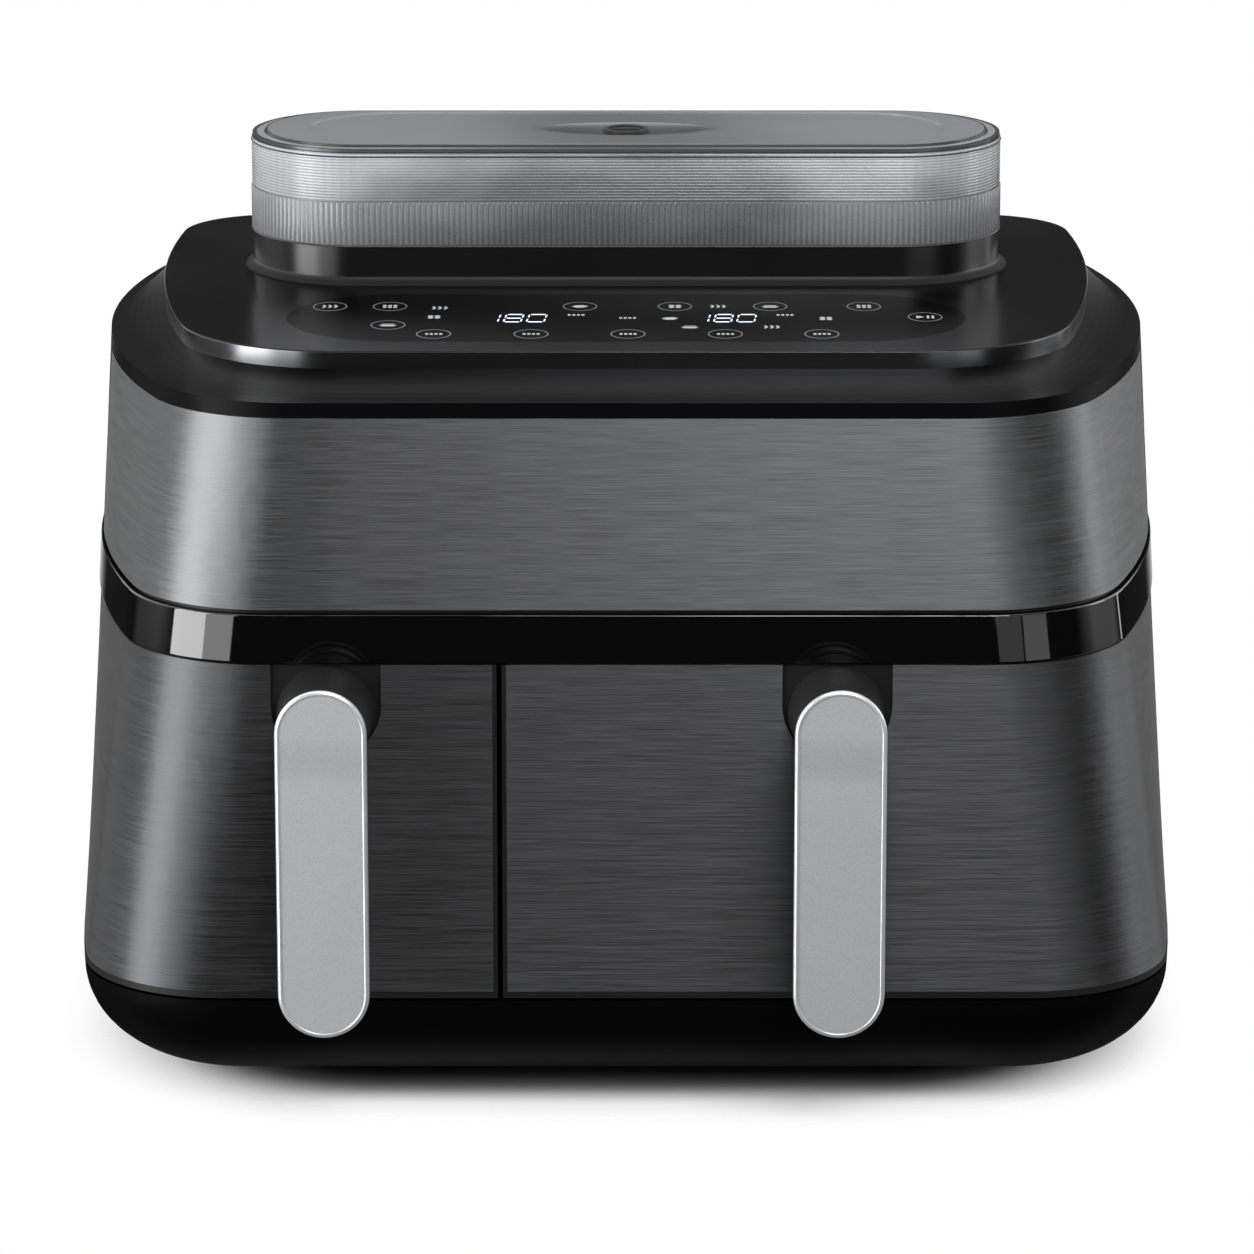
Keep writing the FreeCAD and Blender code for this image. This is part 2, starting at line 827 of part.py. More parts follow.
def build_housing():
    """The black housing, and its rear panel with the spacers, grille and cord gland."""
    front = (-FAR, -d.side_seam)
    shell = overlap("shell", ring(0, d.housing_wall), everywhere(z_span=(0, LID_Z)))
    front_space = fuse("front_space", everywhere(y_span=front, z_span=(0, BAND_Z)),
                       overlap("panel_seat", ring(0, d.skin_wall),
                               everywhere(y_span=front, z_span=(BAND_TOP, FAR))),
                       overlap("band_seat", ring(0, d.band_depth), everywhere(z_span=(DRAWER_TOP, PANEL_Z))))
    inside = hull(d.housing_wall - d.skin_wall)
    ledge = overlap("ledge", inside,
                    everywhere(y_span=(-FAR, CHAMBER_Y), z_span=(BAND_Z, BAND_Z + d.ledge_wall)))
    walls = cut("walls", shell, front_space)
    sides = overlap("sides", walls, everywhere(y_span=(-FAR, d.rear_seam)))
    add_part("main_housing", fuse("housing", sides, ledge))

    bosses = [rod("power_boss", d.board_boss, (x, POWER_Y + d.board_wall, z), FAR, "y")
              for x, z in power_corners()]
    back = fuse("back", overlap("back_wall", walls, everywhere(y_span=(d.rear_seam, FAR))),
                overlap("back_bosses", group("bosses", bosses), inside))
    gland = rod("gland_hole", d.gland_neck + d.fit_gap, (d.gland_x, 0, GLAND_Z), FAR, "y")
    add_part("rear_panel", pierce("rear_panel", back, [grille_window(formula(0)), gland]))

    spacers = []
    for side in (-1, 1):
        x = side * d.spacer_x - d.spacer_width / 2
        spacers.append(block("spacer", (x, x + d.spacer_width), (0, REAR_REACH),
                             (GLAND_Z, GLAND_Z + d.spacer_height)))
    add_part("wall_spacers", cut("wall_spacers", group("spacers", spacers), hull(0)))

    grille = overlap("grille", ring(0, d.housing_wall), grille_window(d.fit_gap))
    rows = int((d.grille_height - 2 * d.grille_frame).value / d.grille_pitch.value)
    middle = LID_Z - d.grille_lift - d.grille_height / 2
    half = d.grille_width / 2 - d.grille_frame
    openings = []
    for row in range(rows):
        z = middle + d.grille_pitch * (row - (rows - 1) / 2) - d.grille_slot / 2
        for x_span in ((-half, -d.grille_frame / 2), (d.grille_frame / 2, half)):
            openings.append(block("grille_slot", x_span, (0, FAR), (z, z + d.grille_slot)))
    add_part("rear_vent_grille", pierce("grille", grille, openings))

    neck = hull_depth(GLAND_Z)
    outside = neck + 2 * d.fit_gap
    body = new_body("cord_gland")
    sketch = draw(body, "XZ_Plane", (d.gland_x, outside, GLAND_Z))
    draw_circle(sketch, d.gland_flange)
    pad(body, sketch, d.gland_cap, backwards=True)
    sketch = draw(body, "XZ_Plane", (d.gland_x, outside, GLAND_Z))
    draw_circle(sketch, d.gland_neck)
    pad(body, sketch, 2 * d.housing_wall)
    sketch = draw(body, "XZ_Plane", (d.gland_x, outside + d.gland_cap, GLAND_Z))
    draw_circle(sketch, d.gland_bore)
    pocket(body, sketch, 4 * d.housing_wall, backwards=True)
    add_part("cord_gland", body)


def build_front_panel():
    """The brushed sheet round the upper front."""
    seam = -d.side_seam - d.fit_gap
    zone = everywhere(y_span=(-FAR, seam), z_span=(PANEL_Z, LID_Z - d.fit_gap))
    add_part("upper_front_panel", overlap("front_panel", ring(0, d.skin_wall), zone))


def build_band():
    """The gloss band all round the body, rounded along both edges."""
    slab = overlap("band_slab", hull(-d.band_proud), everywhere(z_span=(BAND_Z, BAND_TOP)))
    doc.recompute()
    rims = (at_height(BAND_Z), at_height(BAND_TOP))
    radius = d.band_round.value
    rounded = doc.addObject("Part::Fillet", "band_rounded")
    rounded.Base = slab
    rounded.Edges = [(number, radius, radius) for number, edge in enumerate(slab.Shape.Edges, start=1)
                     if any(test(edge) for test in rims)]
    add_part("trim_band", cut("band", rounded, hull(d.band_depth)))


def build_top_cover():
    """The rim and the hollow shoulder that rises to the deck."""
    steps = 6
    foot = RIM.inset(d.rim_land)
    sections = [free_outline("shoulder_foot", foot, RIM_Z - d.rim_height / 4)]
    for step in range(steps + 1):
        share = step / steps
        outline = foot.blend(DECK, share)
        sections.append(free_outline("shoulder_section", outline, RIM_Z + d.shoulder_rise * share ** 2))
    shoulder = loft("shoulder", sections)
    rim = overlap("rim", hull(0), everywhere(z_span=(LID_Z, RIM_Z)))
    cavity = overlap("cavity", hull(d.cover_wall), everywhere(z_span=(0, RIM_Z - d.cover_wall)))
    mouth = prism("mouth", free_outline("mouth_outline", DECK.inset(d.deck_ledge), LID_Z), FAR)
    add_part("top_cover", cut("top_cover", fuse("top_cover", rim, shoulder), cavity, mouth))


def build_deck():
    """The raised control deck, its glass, board and displays."""
    body = new_body("control_deck")
    sketch = draw(body, "XY_Plane", (0, 0, DECK_FOOT))
    DECK.draw(sketch)
    slab = pad(body, sketch, d.deck_rim)
    round_edges(body, slab, d.deck_edge, at_height(DECK_Z))
    sketch = draw(body, "XY_Plane", (0, 0, DECK_FOOT))
    DECK.inset(d.deck_wall).draw(sketch)
    pocket(body, sketch, d.deck_rim - d.deck_plate, backwards=True)
    sketch = draw(body, "XY_Plane", (0, -d.glass_y, DECK_Z))
    draw_stadium(sketch, d.glass_width, d.glass_depth)
    pocket(body, sketch, d.glass_wall)
    for side in (-1, 1):
        sketch = draw(body, "XY_Plane", (side * d.window_spread, -d.glass_y, DECK_Z))
        draw_rectangle(sketch, d.window_width, d.window_depth, d.fit_gap)
        pocket(body, sketch, 2 * d.deck_plate)
    sketch = draw(body, "XY_Plane", (0, d.tank_y, DECK_Z))
    draw_circle(sketch, d.socket_radius + d.fit_gap)
    pocket(body, sketch, 2 * d.deck_plate)
    for x in (-1, 1):
        for y in (-1, 1):
            place = (x * (d.board_width / 2 - 2 * d.board_boss),
                     y * (d.board_depth / 2 - 2 * d.board_boss) - d.glass_y, BOARD_TOP)
            sketch = draw(body, "XY_Plane", place)
            draw_circle(sketch, d.board_boss)
            pad(body, sketch, d.board_drop + (d.deck_plate - d.glass_wall) / 2)
    add_part("control_deck", body)

    body = new_body("control_glass")
    sketch = draw(body, "XY_Plane", (0, -d.glass_y, DECK_Z - d.glass_wall))
    draw_stadium(sketch, d.glass_width - d.fit_gap, d.glass_depth - d.fit_gap)
    pad(body, sketch, d.glass_wall)
    add_part("control_glass", body)

    body = new_body("control_board")
    sketch = draw(body, "XY_Plane", (0, -d.glass_y, BOARD_TOP))
    draw_rectangle(sketch, d.board_width, d.board_depth, d.board_boss)
    pad(body, sketch, d.board_wall, backwards=True)
    add_part("control_board", body)

    modules = []
    for side in (-1, 1):
        half_x = d.window_width / 2 - d.fit_gap
        half_y = d.window_depth / 2 - d.fit_gap
        x = side * d.window_spread
        modules.append(block("display", (x - half_x, x + half_x), (-d.glass_y - half_y, half_y - d.glass_y),
                             (BOARD_TOP, DECK_Z - d.glass_wall)))
    add_part("display_modules", group("display_modules", modules))


# Water tank


def tank_outline(body, height, inset=0):
    """Draw the tank's rounded plan at a height, inset all round."""
    sketch = draw(body, "XY_Plane", (0, d.tank_y, height))
    draw_stadium(sketch, d.tank_width - 2 * formula(inset), d.tank_depth - 2 * formula(inset))
    return sketch


def build_collar():
    """The collar that holds the tank, with the valve socket and its spigot."""
    body = new_body("tank_collar")
    pad(body, tank_outline(body, DECK_Z, -d.collar_flange), d.collar_foot)
    wall = pad(body, tank_outline(body, DECK_Z), d.collar_height)
    foot = at_height(DECK_Z + d.collar_foot)
    reach = d.tank_depth.value / 2 + d.collar_flange.value / 2
    centre = Vector(0, d.tank_y.value, 0)
    straight = (d.tank_width.value - d.tank_depth.value) / 2

    def inner_foot(edge):
        middle = edge.valueAt((edge.FirstParameter + edge.LastParameter) / 2) - centre
        away = math.hypot(max(abs(middle.x) - straight, 0), middle.y)
        return foot(edge) and away < reach

    round_edges(body, wall, d.collar_flange - d.collar_foot, inner_foot)
    pocket(body, tank_outline(body, COLLAR_TOP, d.collar_wall), d.tank_nest)
    floor = COLLAR_TOP - d.tank_nest
    sketch = draw(body, "XY_Plane", (0, d.tank_y, DECK_Z))
    draw_circle(sketch, d.socket_radius)
    pad(body, sketch, 2 * d.deck_plate, backwards=True)
    sketch = draw(body, "XY_Plane", (0, d.tank_y, DECK_Z))
    draw_circle(sketch, d.spigot_radius)
    pad(body, sketch, d.spigot_length, backwards=True)
    sketch = draw(body, "XY_Plane", (0, d.tank_y, floor))
    draw_circle(sketch, d.valve_radius + 2 * d.fit_gap)
    pocket(body, sketch, d.valve_nose + 2 * d.fit_gap)
    sketch = draw(body, "XY_Plane", (0, d.tank_y, floor))
    draw_circle(sketch, d.hose_bore)
    pocket(body, sketch, d.spigot_length + d.collar_height)
    add_part("tank_collar", body)


def build_tank():
    """The water tank with its valve, lid and filler plug."""
    body = new_body("water_tank")
    nest = d.collar_wall + d.fit_gap
    floor = TANK_Z - d.tank_nest
    pad(body, tank_outline(body, floor, nest), d.tank_nest)
    pad(body, tank_outline(body, TANK_Z), d.tank_height)
    pocket(body, tank_outline(body, TANK_TOP, d.tank_wall), d.tank_height - d.tank_wall)
    pocket(body, tank_outline(body, TANK_TOP, nest + d.tank_wall), d.tank_height + d.tank_nest - d.tank_wall)
    sketch = draw(body, "XY_Plane", (0, d.tank_y, floor + d.tank_wall))
    draw_circle(sketch, d.valve_radius + d.fit_gap)
    pocket(body, sketch, 2 * d.tank_wall)
    add_part("water_tank", body)

    stem = rod("valve_stem", d.valve_radius, (0, d.tank_y, floor - d.valve_nose),
               d.valve_nose + 2 * d.tank_wall)
    flange = rod("valve_flange", d.valve_flange, (0, d.tank_y, floor + d.tank_wall), d.tank_wall)
    add_part("tank_valve", fuse("tank_valve", stem, flange))

    body = new_body("tank_lid")
    skirt = d.tank_wall + d.fit_gap
    pad(body, tank_outline(body, LID_SEAT, d.fit_gap), d.lid_flange)
    pad(body, tank_outline(body, LID_SEAT, d.lid_inset), d.lid_rise)
    pad(body, tank_outline(body, LID_SEAT, skirt), d.lid_skirt, backwards=True)
    pocket(body, tank_outline(body, LID_SEAT - d.lid_skirt, skirt + d.tank_wall),
           d.lid_skirt + d.lid_rise - d.lid_plate, backwards=True)
    top = LID_SEAT + d.lid_rise
    sketch = draw(body, "XY_Plane", (0, d.tank_y, top))
    draw_stadium(sketch, d.tank_width - 2 * d.panel_end, d.tank_depth - 2 * d.panel_side)
    pocket(body, sketch, d.panel_sink)
    half_round = math.sqrt(3) / 2
    dish = doc.addObject("Part::Ellipsoid", "lid_dish")
    bind(dish, "Radius1", 2 * d.dish_depth)
    bind(dish, "Radius2", d.dish_length / 2 / half_round)
    bind(dish, "Radius3", d.dish_width / 2 / half_round)
    bind(dish, "Placement.Base.y", d.tank_y)
    bind(dish, "Placement.Base.z", top + d.dish_depth)
    seat = rod("plug_seat", d.plug_radius + d.fit_gap, (0, d.tank_y, top - d.dish_depth), FAR)
    hole = rod("plug_hole", d.plug_stem + d.fit_gap, (0, d.tank_y, 0), FAR)
    add_part("tank_lid", cut("tank_lid", body, dish, seat, hole))

    seat_z = top - d.dish_depth + d.fit_gap
    cap = rod("plug_cap", d.plug_radius, (0, d.tank_y, seat_z), d.plug_cap)
    stem = rod("plug_stem", d.plug_stem, (0, d.tank_y, seat_z - d.lid_plate), d.lid_plate + d.plug_cap)
    dimple = rod("plug_dimple", d.plug_radius - d.plug_rim, (0, d.tank_y, seat_z + d.plug_cap / 2),
                 d.plug_cap)
    grip = block("plug_grip", (-d.plug_stem, d.plug_stem),
                 (d.tank_y - d.plug_rim / 2, d.tank_y + d.plug_rim / 2), (seat_z, seat_z + d.plug_cap))
    add_part("filler_plug", fuse("filler_plug", cut("plug_cup", fuse("plug", cap, stem), dimple), grip))


# Drawers


class Bay:
    """The places of one drawer and the chamber behind it."""

    def __init__(self, name, outer, handle_x, fan_radius):
        self.name = name
        self.outer = outer
        self.handle_x = handle_x
        self.fan_radius = fan_radius
        self.front_edge = DIVIDER_X + outer * d.divider_gap / 2
        self.chamber_inner = DIVIDER_X + outer * d.chamber_spacing / 2
        self.chamber_outer = outer * (HALF_WIDTH - d.chamber_margin)
        self.middle = (self.chamber_inner + self.chamber_outer) / 2
        self.chamber_width = outer * (self.chamber_outer - self.chamber_inner)
        self.pan_width = self.chamber_width - 2 * (d.chamber_wall + d.pan_clearance)

    def span(self, edge):
        """Return the span of X from an inner edge outwards."""
        return (-FAR, edge) if self.outer < 0 else (edge, FAR)

    def label(self, piece):
        return "%s_%s" % (self.name, piece)


BAYS = [
    Bay("left", -1, -d.left_handle_x, d.left_fan_radius),
    Bay("right", 1, d.right_handle_x, d.right_fan_radius),
]


def build_front(bay):
    """A drawer front: black backing with a wing, brushed skin and a bossed handle."""
    wing_end = -d.side_seam - 2 * d.fit_gap
    zone = block("front_zone", bay.span(bay.front_edge), (-FAR, wing_end), (DRAWER_Z, DRAWER_TOP))
    hollow = overlap("front_hollow", hull(d.wing_wall), everywhere(y_span=(SLAB_BACK, FAR)))
    skin_edge = bay.front_edge + bay.outer * d.lip_side
    skin_zone = block("skin_zone", bay.span(skin_edge), (-FAR, wing_end - d.lip_side),
                      (DRAWER_Z + d.lip_bottom, DRAWER_TOP))
    skin = overlap("skin", ring(0, d.skin_wall), skin_zone)
    holes = []
    screws = []
    for side in (-1, 1):
        start = (bay.handle_x + side * d.screw_spread / 2, SLAB_BACK - d.screw_length, ARM_Z)
        holes.append(rod("screw_hole", d.screw_radius + d.fit_gap, start, FAR, "y"))
        head = (start[0], SLAB_BACK, ARM_Z)
        screws.append(fuse("screw", rod("screw_shank", d.screw_radius, start, d.screw_length, "y"),
                           rod("screw_head", d.screw_head, head, d.screw_head_height, "y")))
    front = cut("front", overlap("front", hull(0), zone), hollow, skin, *holes)
    add_part(bay.label("drawer_front"), front)
    add_part(bay.label("handle_screws"), group("handle_screws", screws))

    notch_radius = d.handle_width / 2 + d.arm_flare + d.notch_margin
    notch = fuse("notch", rod("notch_round", notch_radius, (bay.handle_x, -FAR, ARM_Z), FAR, "y"),
                 block("notch_top", (bay.handle_x - notch_radius, bay.handle_x + notch_radius), (-FAR, 0),
                       (ARM_Z, FAR)))
    add_part(bay.label("front_skin"), cut("front_skin", skin, notch))

    boss = doc.addObject("Part::Cone", "handle_boss")
    boss.Placement = Placement(Vector(), AXIS_TURNS["y"])
    bind(boss, "Radius1", d.handle_width / 2 - d.grip_inset)
    bind(boss, "Radius2", d.handle_width / 2 + d.arm_flare)
    bind(boss, "Height", RIM_FRONT - GRIP_BACK)
    for axis, amount in zip("xyz", (bay.handle_x, GRIP_BACK, ARM_Z)):
        bind(boss, "Placement.Base." + axis, amount)
    band_front = -hull_depth(BAND_Z) - d.band_proud - 2 * d.fit_gap
    relief = everywhere(y_span=(band_front, FAR), z_span=(DRAWER_TOP, FAR))
    add_part(bay.label("handle_arm"), cut("handle_arm", boss, hull(d.skin_wall), relief, *holes))

    middle = d.handle_foot + d.handle_length / 2
    body = new_body(bay.label("handle_grip"))
    sketch = draw(body, "XZ_Plane", (bay.handle_x, GRIP_FRONT, middle))
    draw_stadium(sketch, d.handle_length - 2 * d.grip_inset, d.handle_width - 2 * d.grip_inset, upright=True)
    grip = pad(body, sketch, d.handle_grip, backwards=True)
    round_edges(body, grip, d.grip_round, at_front(GRIP_BACK))
    add_part(bay.label("handle_grip"), body)

    body = new_body(bay.label("handle_face"))
    sketch = draw(body, "XZ_Plane", (bay.handle_x, GRIP_FRONT, middle))
    draw_stadium(sketch, d.handle_length, d.handle_width, upright=True)
    face = pad(body, sketch, d.handle_face)
    round_edges(body, face, d.handle_bevel, at_front(-d.handle_reach), "Chamfer", "Size")
    sketch = draw(body, "XZ_Plane", (bay.handle_x, -d.handle_reach, middle))
    border = 2 * (d.handle_bevel + d.handle_inlay)
    draw_stadium(sketch, d.handle_length - border, d.handle_width - border, upright=True)
    pocket(body, sketch, d.handle_inlay)
    add_part(bay.label("handle_face"), body)


def build_pan(bay):
    """A drafted pan with a turned rim, and the slotted crisper plate on its feet."""
    middle_y = SLAB_BACK + d.pan_length / 2
    body = new_body(bay.label("pan"))

    def section(height, inset):
        sketch = draw(body, "XY_Plane", (bay.middle, middle_y, height))
        draw_rectangle(sketch, bay.pan_width - 2 * formula(inset), d.pan_length - 2 * formula(inset),
                       d.pan_corner - inset)
        return sketch

    loft_body(body, "AdditiveLoft", section(PAN_Z, d.pan_draft), section(PAN_TOP, d.pan_lip))
    pad(body, section(PAN_TOP, formula(0)), d.pan_rim, backwards=True)
    loft_body(body, "SubtractiveLoft", section(PAN_Z + d.pan_wall, d.pan_draft + d.pan_wall),
              section(PAN_TOP, d.pan_lip + d.pan_wall))
    add_part(bay.label("pan"), body)

    inset = d.pan_draft + d.pan_wall + d.plate_margin
    width = bay.pan_width - 2 * inset
    length = d.pan_length - 2 * inset
    body = new_body(bay.label("crisper_plate"))
    sketch = draw(body, "XY_Plane", (bay.middle, middle_y, PLATE_Z))
    draw_rectangle(sketch, width, length, d.pan_corner - inset)
    pad(body, sketch, d.plate_wall)
    columns = int((width - 2 * d.bumper_inset).value / d.plate_slot_pitch_x.value)
    rows = int((length - d.bumper_inset).value / d.plate_slot_pitch_y.value)
    slots(body, d.plate_slot, d.plate_slot_length, (bay.middle, middle_y, PLATE_Z + d.plate_wall),
          2 * d.plate_wall, columns, rows, d.plate_slot_pitch_x, d.plate_slot_pitch_y)
    add_part(bay.label("crisper_plate"), body)

    feet = []
    for x in (-1, 1):
        for y in (-1, 1):
            place = (bay.middle + x * (width / 2 - d.bumper_inset / 2),
                     middle_y + y * (length / 2 - d.bumper_inset), PLATE_Z - d.plate_lift)
            feet.append(rod("bumper", d.bumper_radius, place, d.plate_lift))
    add_part(bay.label("plate_bumpers"), group("plate_bumpers", feet))


# Cooking chambers and hot air


def build_chamber(bay):
    """A sheet chamber open to the front, with runners and an opening for the hot air."""
    body = new_body(bay.label("chamber"))
    middle_z = CHAMBER_Z + d.chamber_height / 2
    sketch = draw(body, "XZ_Plane", (bay.middle, CHAMBER_Y, middle_z))
    draw_rectangle(sketch, bay.chamber_width, d.chamber_height, d.chamber_corner)
    pad(body, sketch, d.chamber_length, backwards=True)
    sketch = draw(body, "XZ_Plane", (bay.middle, CHAMBER_Y, middle_z))
    draw_rectangle(sketch, bay.chamber_width - 2 * d.chamber_wall, d.chamber_height - 2 * d.chamber_wall,
                   d.chamber_corner - d.chamber_wall)
    pocket(body, sketch, d.chamber_length - d.chamber_wall)
    sketch = draw(body, "XY_Plane", (bay.middle, FAN_Y, CHAMBER_TOP))
    draw_circle(sketch, bay.fan_radius + d.shroud_clearance)
    pocket(body, sketch, 2 * d.chamber_wall)
    sketch = draw(body, "XZ_Plane", (bay.middle, CHAMBER_REAR, CHAMBER_TOP - d.chamber_corner / 2))
    draw_circle(sketch, d.sensor_radius + d.fit_gap)
    pocket(body, sketch, 2 * d.chamber_wall, backwards=True)
    sketch = draw(body, "XY_Plane", (nozzle_x(bay), NOZZLE_Y, CHAMBER_TOP))
    draw_circle(sketch, d.hose_bore)
    pocket(body, sketch, 2 * d.chamber_wall)
    for side in (-1, 1):
        x = bay.middle + side * (bay.pan_width / 2 - d.runner_inset)
        sketch = draw(body, "XY_Plane", (x, FAN_Y, CHAMBER_Z + d.chamber_wall / 2))
        draw_rectangle(sketch, d.runner_width, d.chamber_length - d.runner_inset, d.runner_width / 4)
        pad(body, sketch, d.runner_height + d.chamber_wall / 2)
    add_part(bay.label("chamber"), body)


def heater_reach(bay):
    return bay.fan_radius + d.shroud_clearance / 2


def terminal_places(bay):
    """Return where the two ends of a heater rise through the shroud, about the fan's axis."""
    reach = heater_reach(bay)
    return [(reach * math.cos(math.radians(turn)), reach * math.sin(math.radians(turn)))
            for turn in (START_TURN, END_TURN)]


def build_hot_air(bay):
    """The shroud, heater, fan and motor above a chamber."""
    axis = (bay.middle, FAN_Y)
    reach = bay.fan_radius + d.shroud_clearance
    body = new_body(bay.label("heat_shroud"))
    sketch = draw(body, "XZ_Plane", (*axis, CHAMBER_TOP))
    wall = d.shroud_wall
    height = d.shroud_height
    mouth = 2 * d.shaft_radius
    draw_polygon(sketch, [
        (reach, 0), (reach + d.shroud_flange, 0), (reach + d.shroud_flange, wall), (reach + wall, wall),
        (reach + wall, height), (mouth, height), (mouth, height - wall), (reach, height - wall)])
    revolve(body, sketch)
    sketch = draw(body, "XY_Plane", (*axis, SHROUD_TOP - wall / 2))
    draw_circle(sketch, d.motor_post, POST_REACH)
    post = pad(body, sketch, d.motor_gap + wall / 2)
    posts = body.newObject("PartDesign::PolarPattern", body.Name + "_posts")
    posts.Originals = [post]
    posts.Axis = (sketch, ["N_Axis"])
    posts.Occurrences = 4
    body.Tip = posts
    for x, y in terminal_places(bay):
        sketch = draw(body, "XY_Plane", (*axis, SHROUD_TOP))
        draw_circle(sketch, d.heater_tube + d.fit_gap, x, y)
        pocket(body, sketch, 2 * wall)
    add_part(bay.label("heat_shroud"), body)

    build_heater(bay)
    build_wheel(bay, "fan_wheel", bay.fan_radius, WHEEL_Z, d.wheel_height, 10)
    build_wheel(bay, "cooling_fan", d.cooling_radius, SHROUD_TOP + d.cooling_lift, d.cooling_height, 8)
    shaft_z = WHEEL_Z - d.wheel_plate
    shaft_top = MOTOR_Z + d.motor_height + d.motor_flange
    shaft = rod("shaft", d.shaft_radius, (*axis, shaft_z), shaft_top - shaft_z)
    add_part(bay.label("fan_shaft"), shaft, FAN_Y)

    body = new_body(bay.label("fan_motor"))
    sketch = draw(body, "XZ_Plane", (*axis, MOTOR_Z))
    bore = d.shaft_radius + d.shaft_gap
    rim = POST_REACH + d.motor_post
    draw_polygon(sketch, [
        (bore, 0), (rim, 0), (rim, d.motor_flange), (d.motor_radius, d.motor_flange),
        (d.motor_radius, d.motor_height - d.motor_flange), (d.motor_radius - d.motor_flange, d.motor_height),
        (bore, d.motor_height)])
    revolve(body, sketch)
    add_part(bay.label("fan_motor"), body)


def build_heater(bay):
    """A tube that runs round and back again, with both ends turned up through the shroud."""
    height = (CHAMBER_TOP + d.heater_lift).value
    tube = d.heater_tube.value
    outer = heater_reach(bay).value
    inner = outer - d.heater_pitch.value
    centre = Vector(0, 0, height)

    def point(radius, turn):
        angle = math.radians(turn)
        return centre + Vector(radius * math.cos(angle), radius * math.sin(angle), 0)

    def bow(radius, first, last):
        half_way = point(radius, (first + last) / 2)
        return Part.Arc(point(radius, first), half_way, point(radius, last)).toShape()

    middle = (outer + inner) / 2
    swing = math.degrees((outer - inner) / 2 / middle)
    bend_top = point(middle, TURN_BACK + swing)
    bend = Part.Arc(point(outer, TURN_BACK), bend_top, point(inner, TURN_BACK)).toShape()
    half = (START_TURN + TURN_BACK) / 2
    back = (END_TURN + TURN_BACK) / 2
    path = Part.Wire([bow(outer, START_TURN, half), bow(outer, half, TURN_BACK), bend,
                      bow(inner, TURN_BACK, back), bow(inner, back, END_TURN)])
    start = point(outer, START_TURN)
    along = Vector(-start.y, start.x, 0)
    section = Part.Wire(Part.makeCircle(tube, start, along))
    coil = path.makePipeShell([section], True, False)
    rise = (d.shroud_height - d.heater_lift + d.motor_gap / 2).value
    link_start = point(inner - tube / 2, END_TURN)
    link = Part.makeCylinder(tube, outer - inner + tube / 2, link_start, point(outer, END_TURN) - link_start)
    posts = [Part.makeCylinder(tube, rise + tube, point(outer, turn) - UP * tube, UP)
             for turn in (START_TURN, END_TURN)]
    piece = doc.addObject("Part::Feature", bay.label("heater_tube"))
    piece.Shape = coil.fuse([link] + posts).removeSplitter()
    bind(piece, "Placement.Base.x", bay.middle)
    add_part(bay.label("heater"), piece, FAN_Y)


def build_wheel(bay, name, radius, height, depth, blades):
    """A radial fan wheel: a plate, a hub and swept blades."""
    axis = (bay.middle, FAN_Y)
    body = new_body(bay.label(name))
    sketch = draw(body, "XY_Plane", (*axis, height + depth))
    draw_circle(sketch, radius)
    pad(body, sketch, d.wheel_plate, backwards=True)
    sketch = draw(body, "XY_Plane", (*axis, height))
    draw_circle(sketch, d.hub_radius)
    pad(body, sketch, depth)
    sketch = draw(body, "XY_Plane", (*axis, height))
    draw_blade(sketch, d.hub_radius - d.blade_wall, radius - d.blade_wall, d.blade_wall)
    blade = pad(body, sketch, depth - d.wheel_plate / 2)
    blade_ring = body.newObject("PartDesign::PolarPattern", body.Name + "_blades")
    blade_ring.Originals = [blade]
    blade_ring.Axis = (sketch, ["N_Axis"])
    blade_ring.Occurrences = blades
    body.Tip = blade_ring
    sketch = draw(body, "XY_Plane", (*axis, height + depth))
    draw_circle(sketch, d.shaft_radius + d.shaft_gap)
    pocket(body, sketch, 2 * depth)
    add_part(bay.label(name), body)


def draw_blade(sketch, inner, outer, wall):
    """Draw a swept blade as a band between two arcs that share a centre."""
    sweep = 35
    reach = (outer.value + inner.value) / 2
    half = (outer.value - inner.value) / 2
    bend = half / math.sin(math.radians(sweep))
    drop = bend * math.cos(math.radians(sweep))
    centre = (reach, -drop)
    turns = (90 - sweep, 90 + sweep)
    face = arc(sketch, centre, bend, *turns)
    back = arc(sketch, centre, bend + wall.value, *turns)
    for end, turn in enumerate(turns, start=1):
        edge = line(sketch, point_on(centre, bend, turn), point_on(centre, bend + wall.value, turn))
        sketch.addConstraint(Sketcher.Constraint("Coincident", face, end, edge, 1))
        sketch.addConstraint(Sketcher.Constraint("Coincident", edge, 2, back, end))
        sketch.addConstraint(Sketcher.Constraint("PointOnObject", face, end, -1))
    sketch.addConstraint(Sketcher.Constraint("Coincident", face, 3, back, 3))
    measure(sketch, "DistanceX", (-1, 1, face, 2), inner)
    measure(sketch, "DistanceX", (-1, 1, face, 1), outer)
    share = 1 / math.sin(math.radians(sweep)) / 2
    measure(sketch, "Radius", (face,), (outer - inner) * share)
    measure(sketch, "Radius", (back,), (outer - inner) * share + wall)


def point_on(centre, radius, turn):
    """Return a point on a circle of a sketch."""
    angle = math.radians(turn)
    return (centre[0] + radius * math.cos(angle), centre[1] + radius * math.sin(angle))


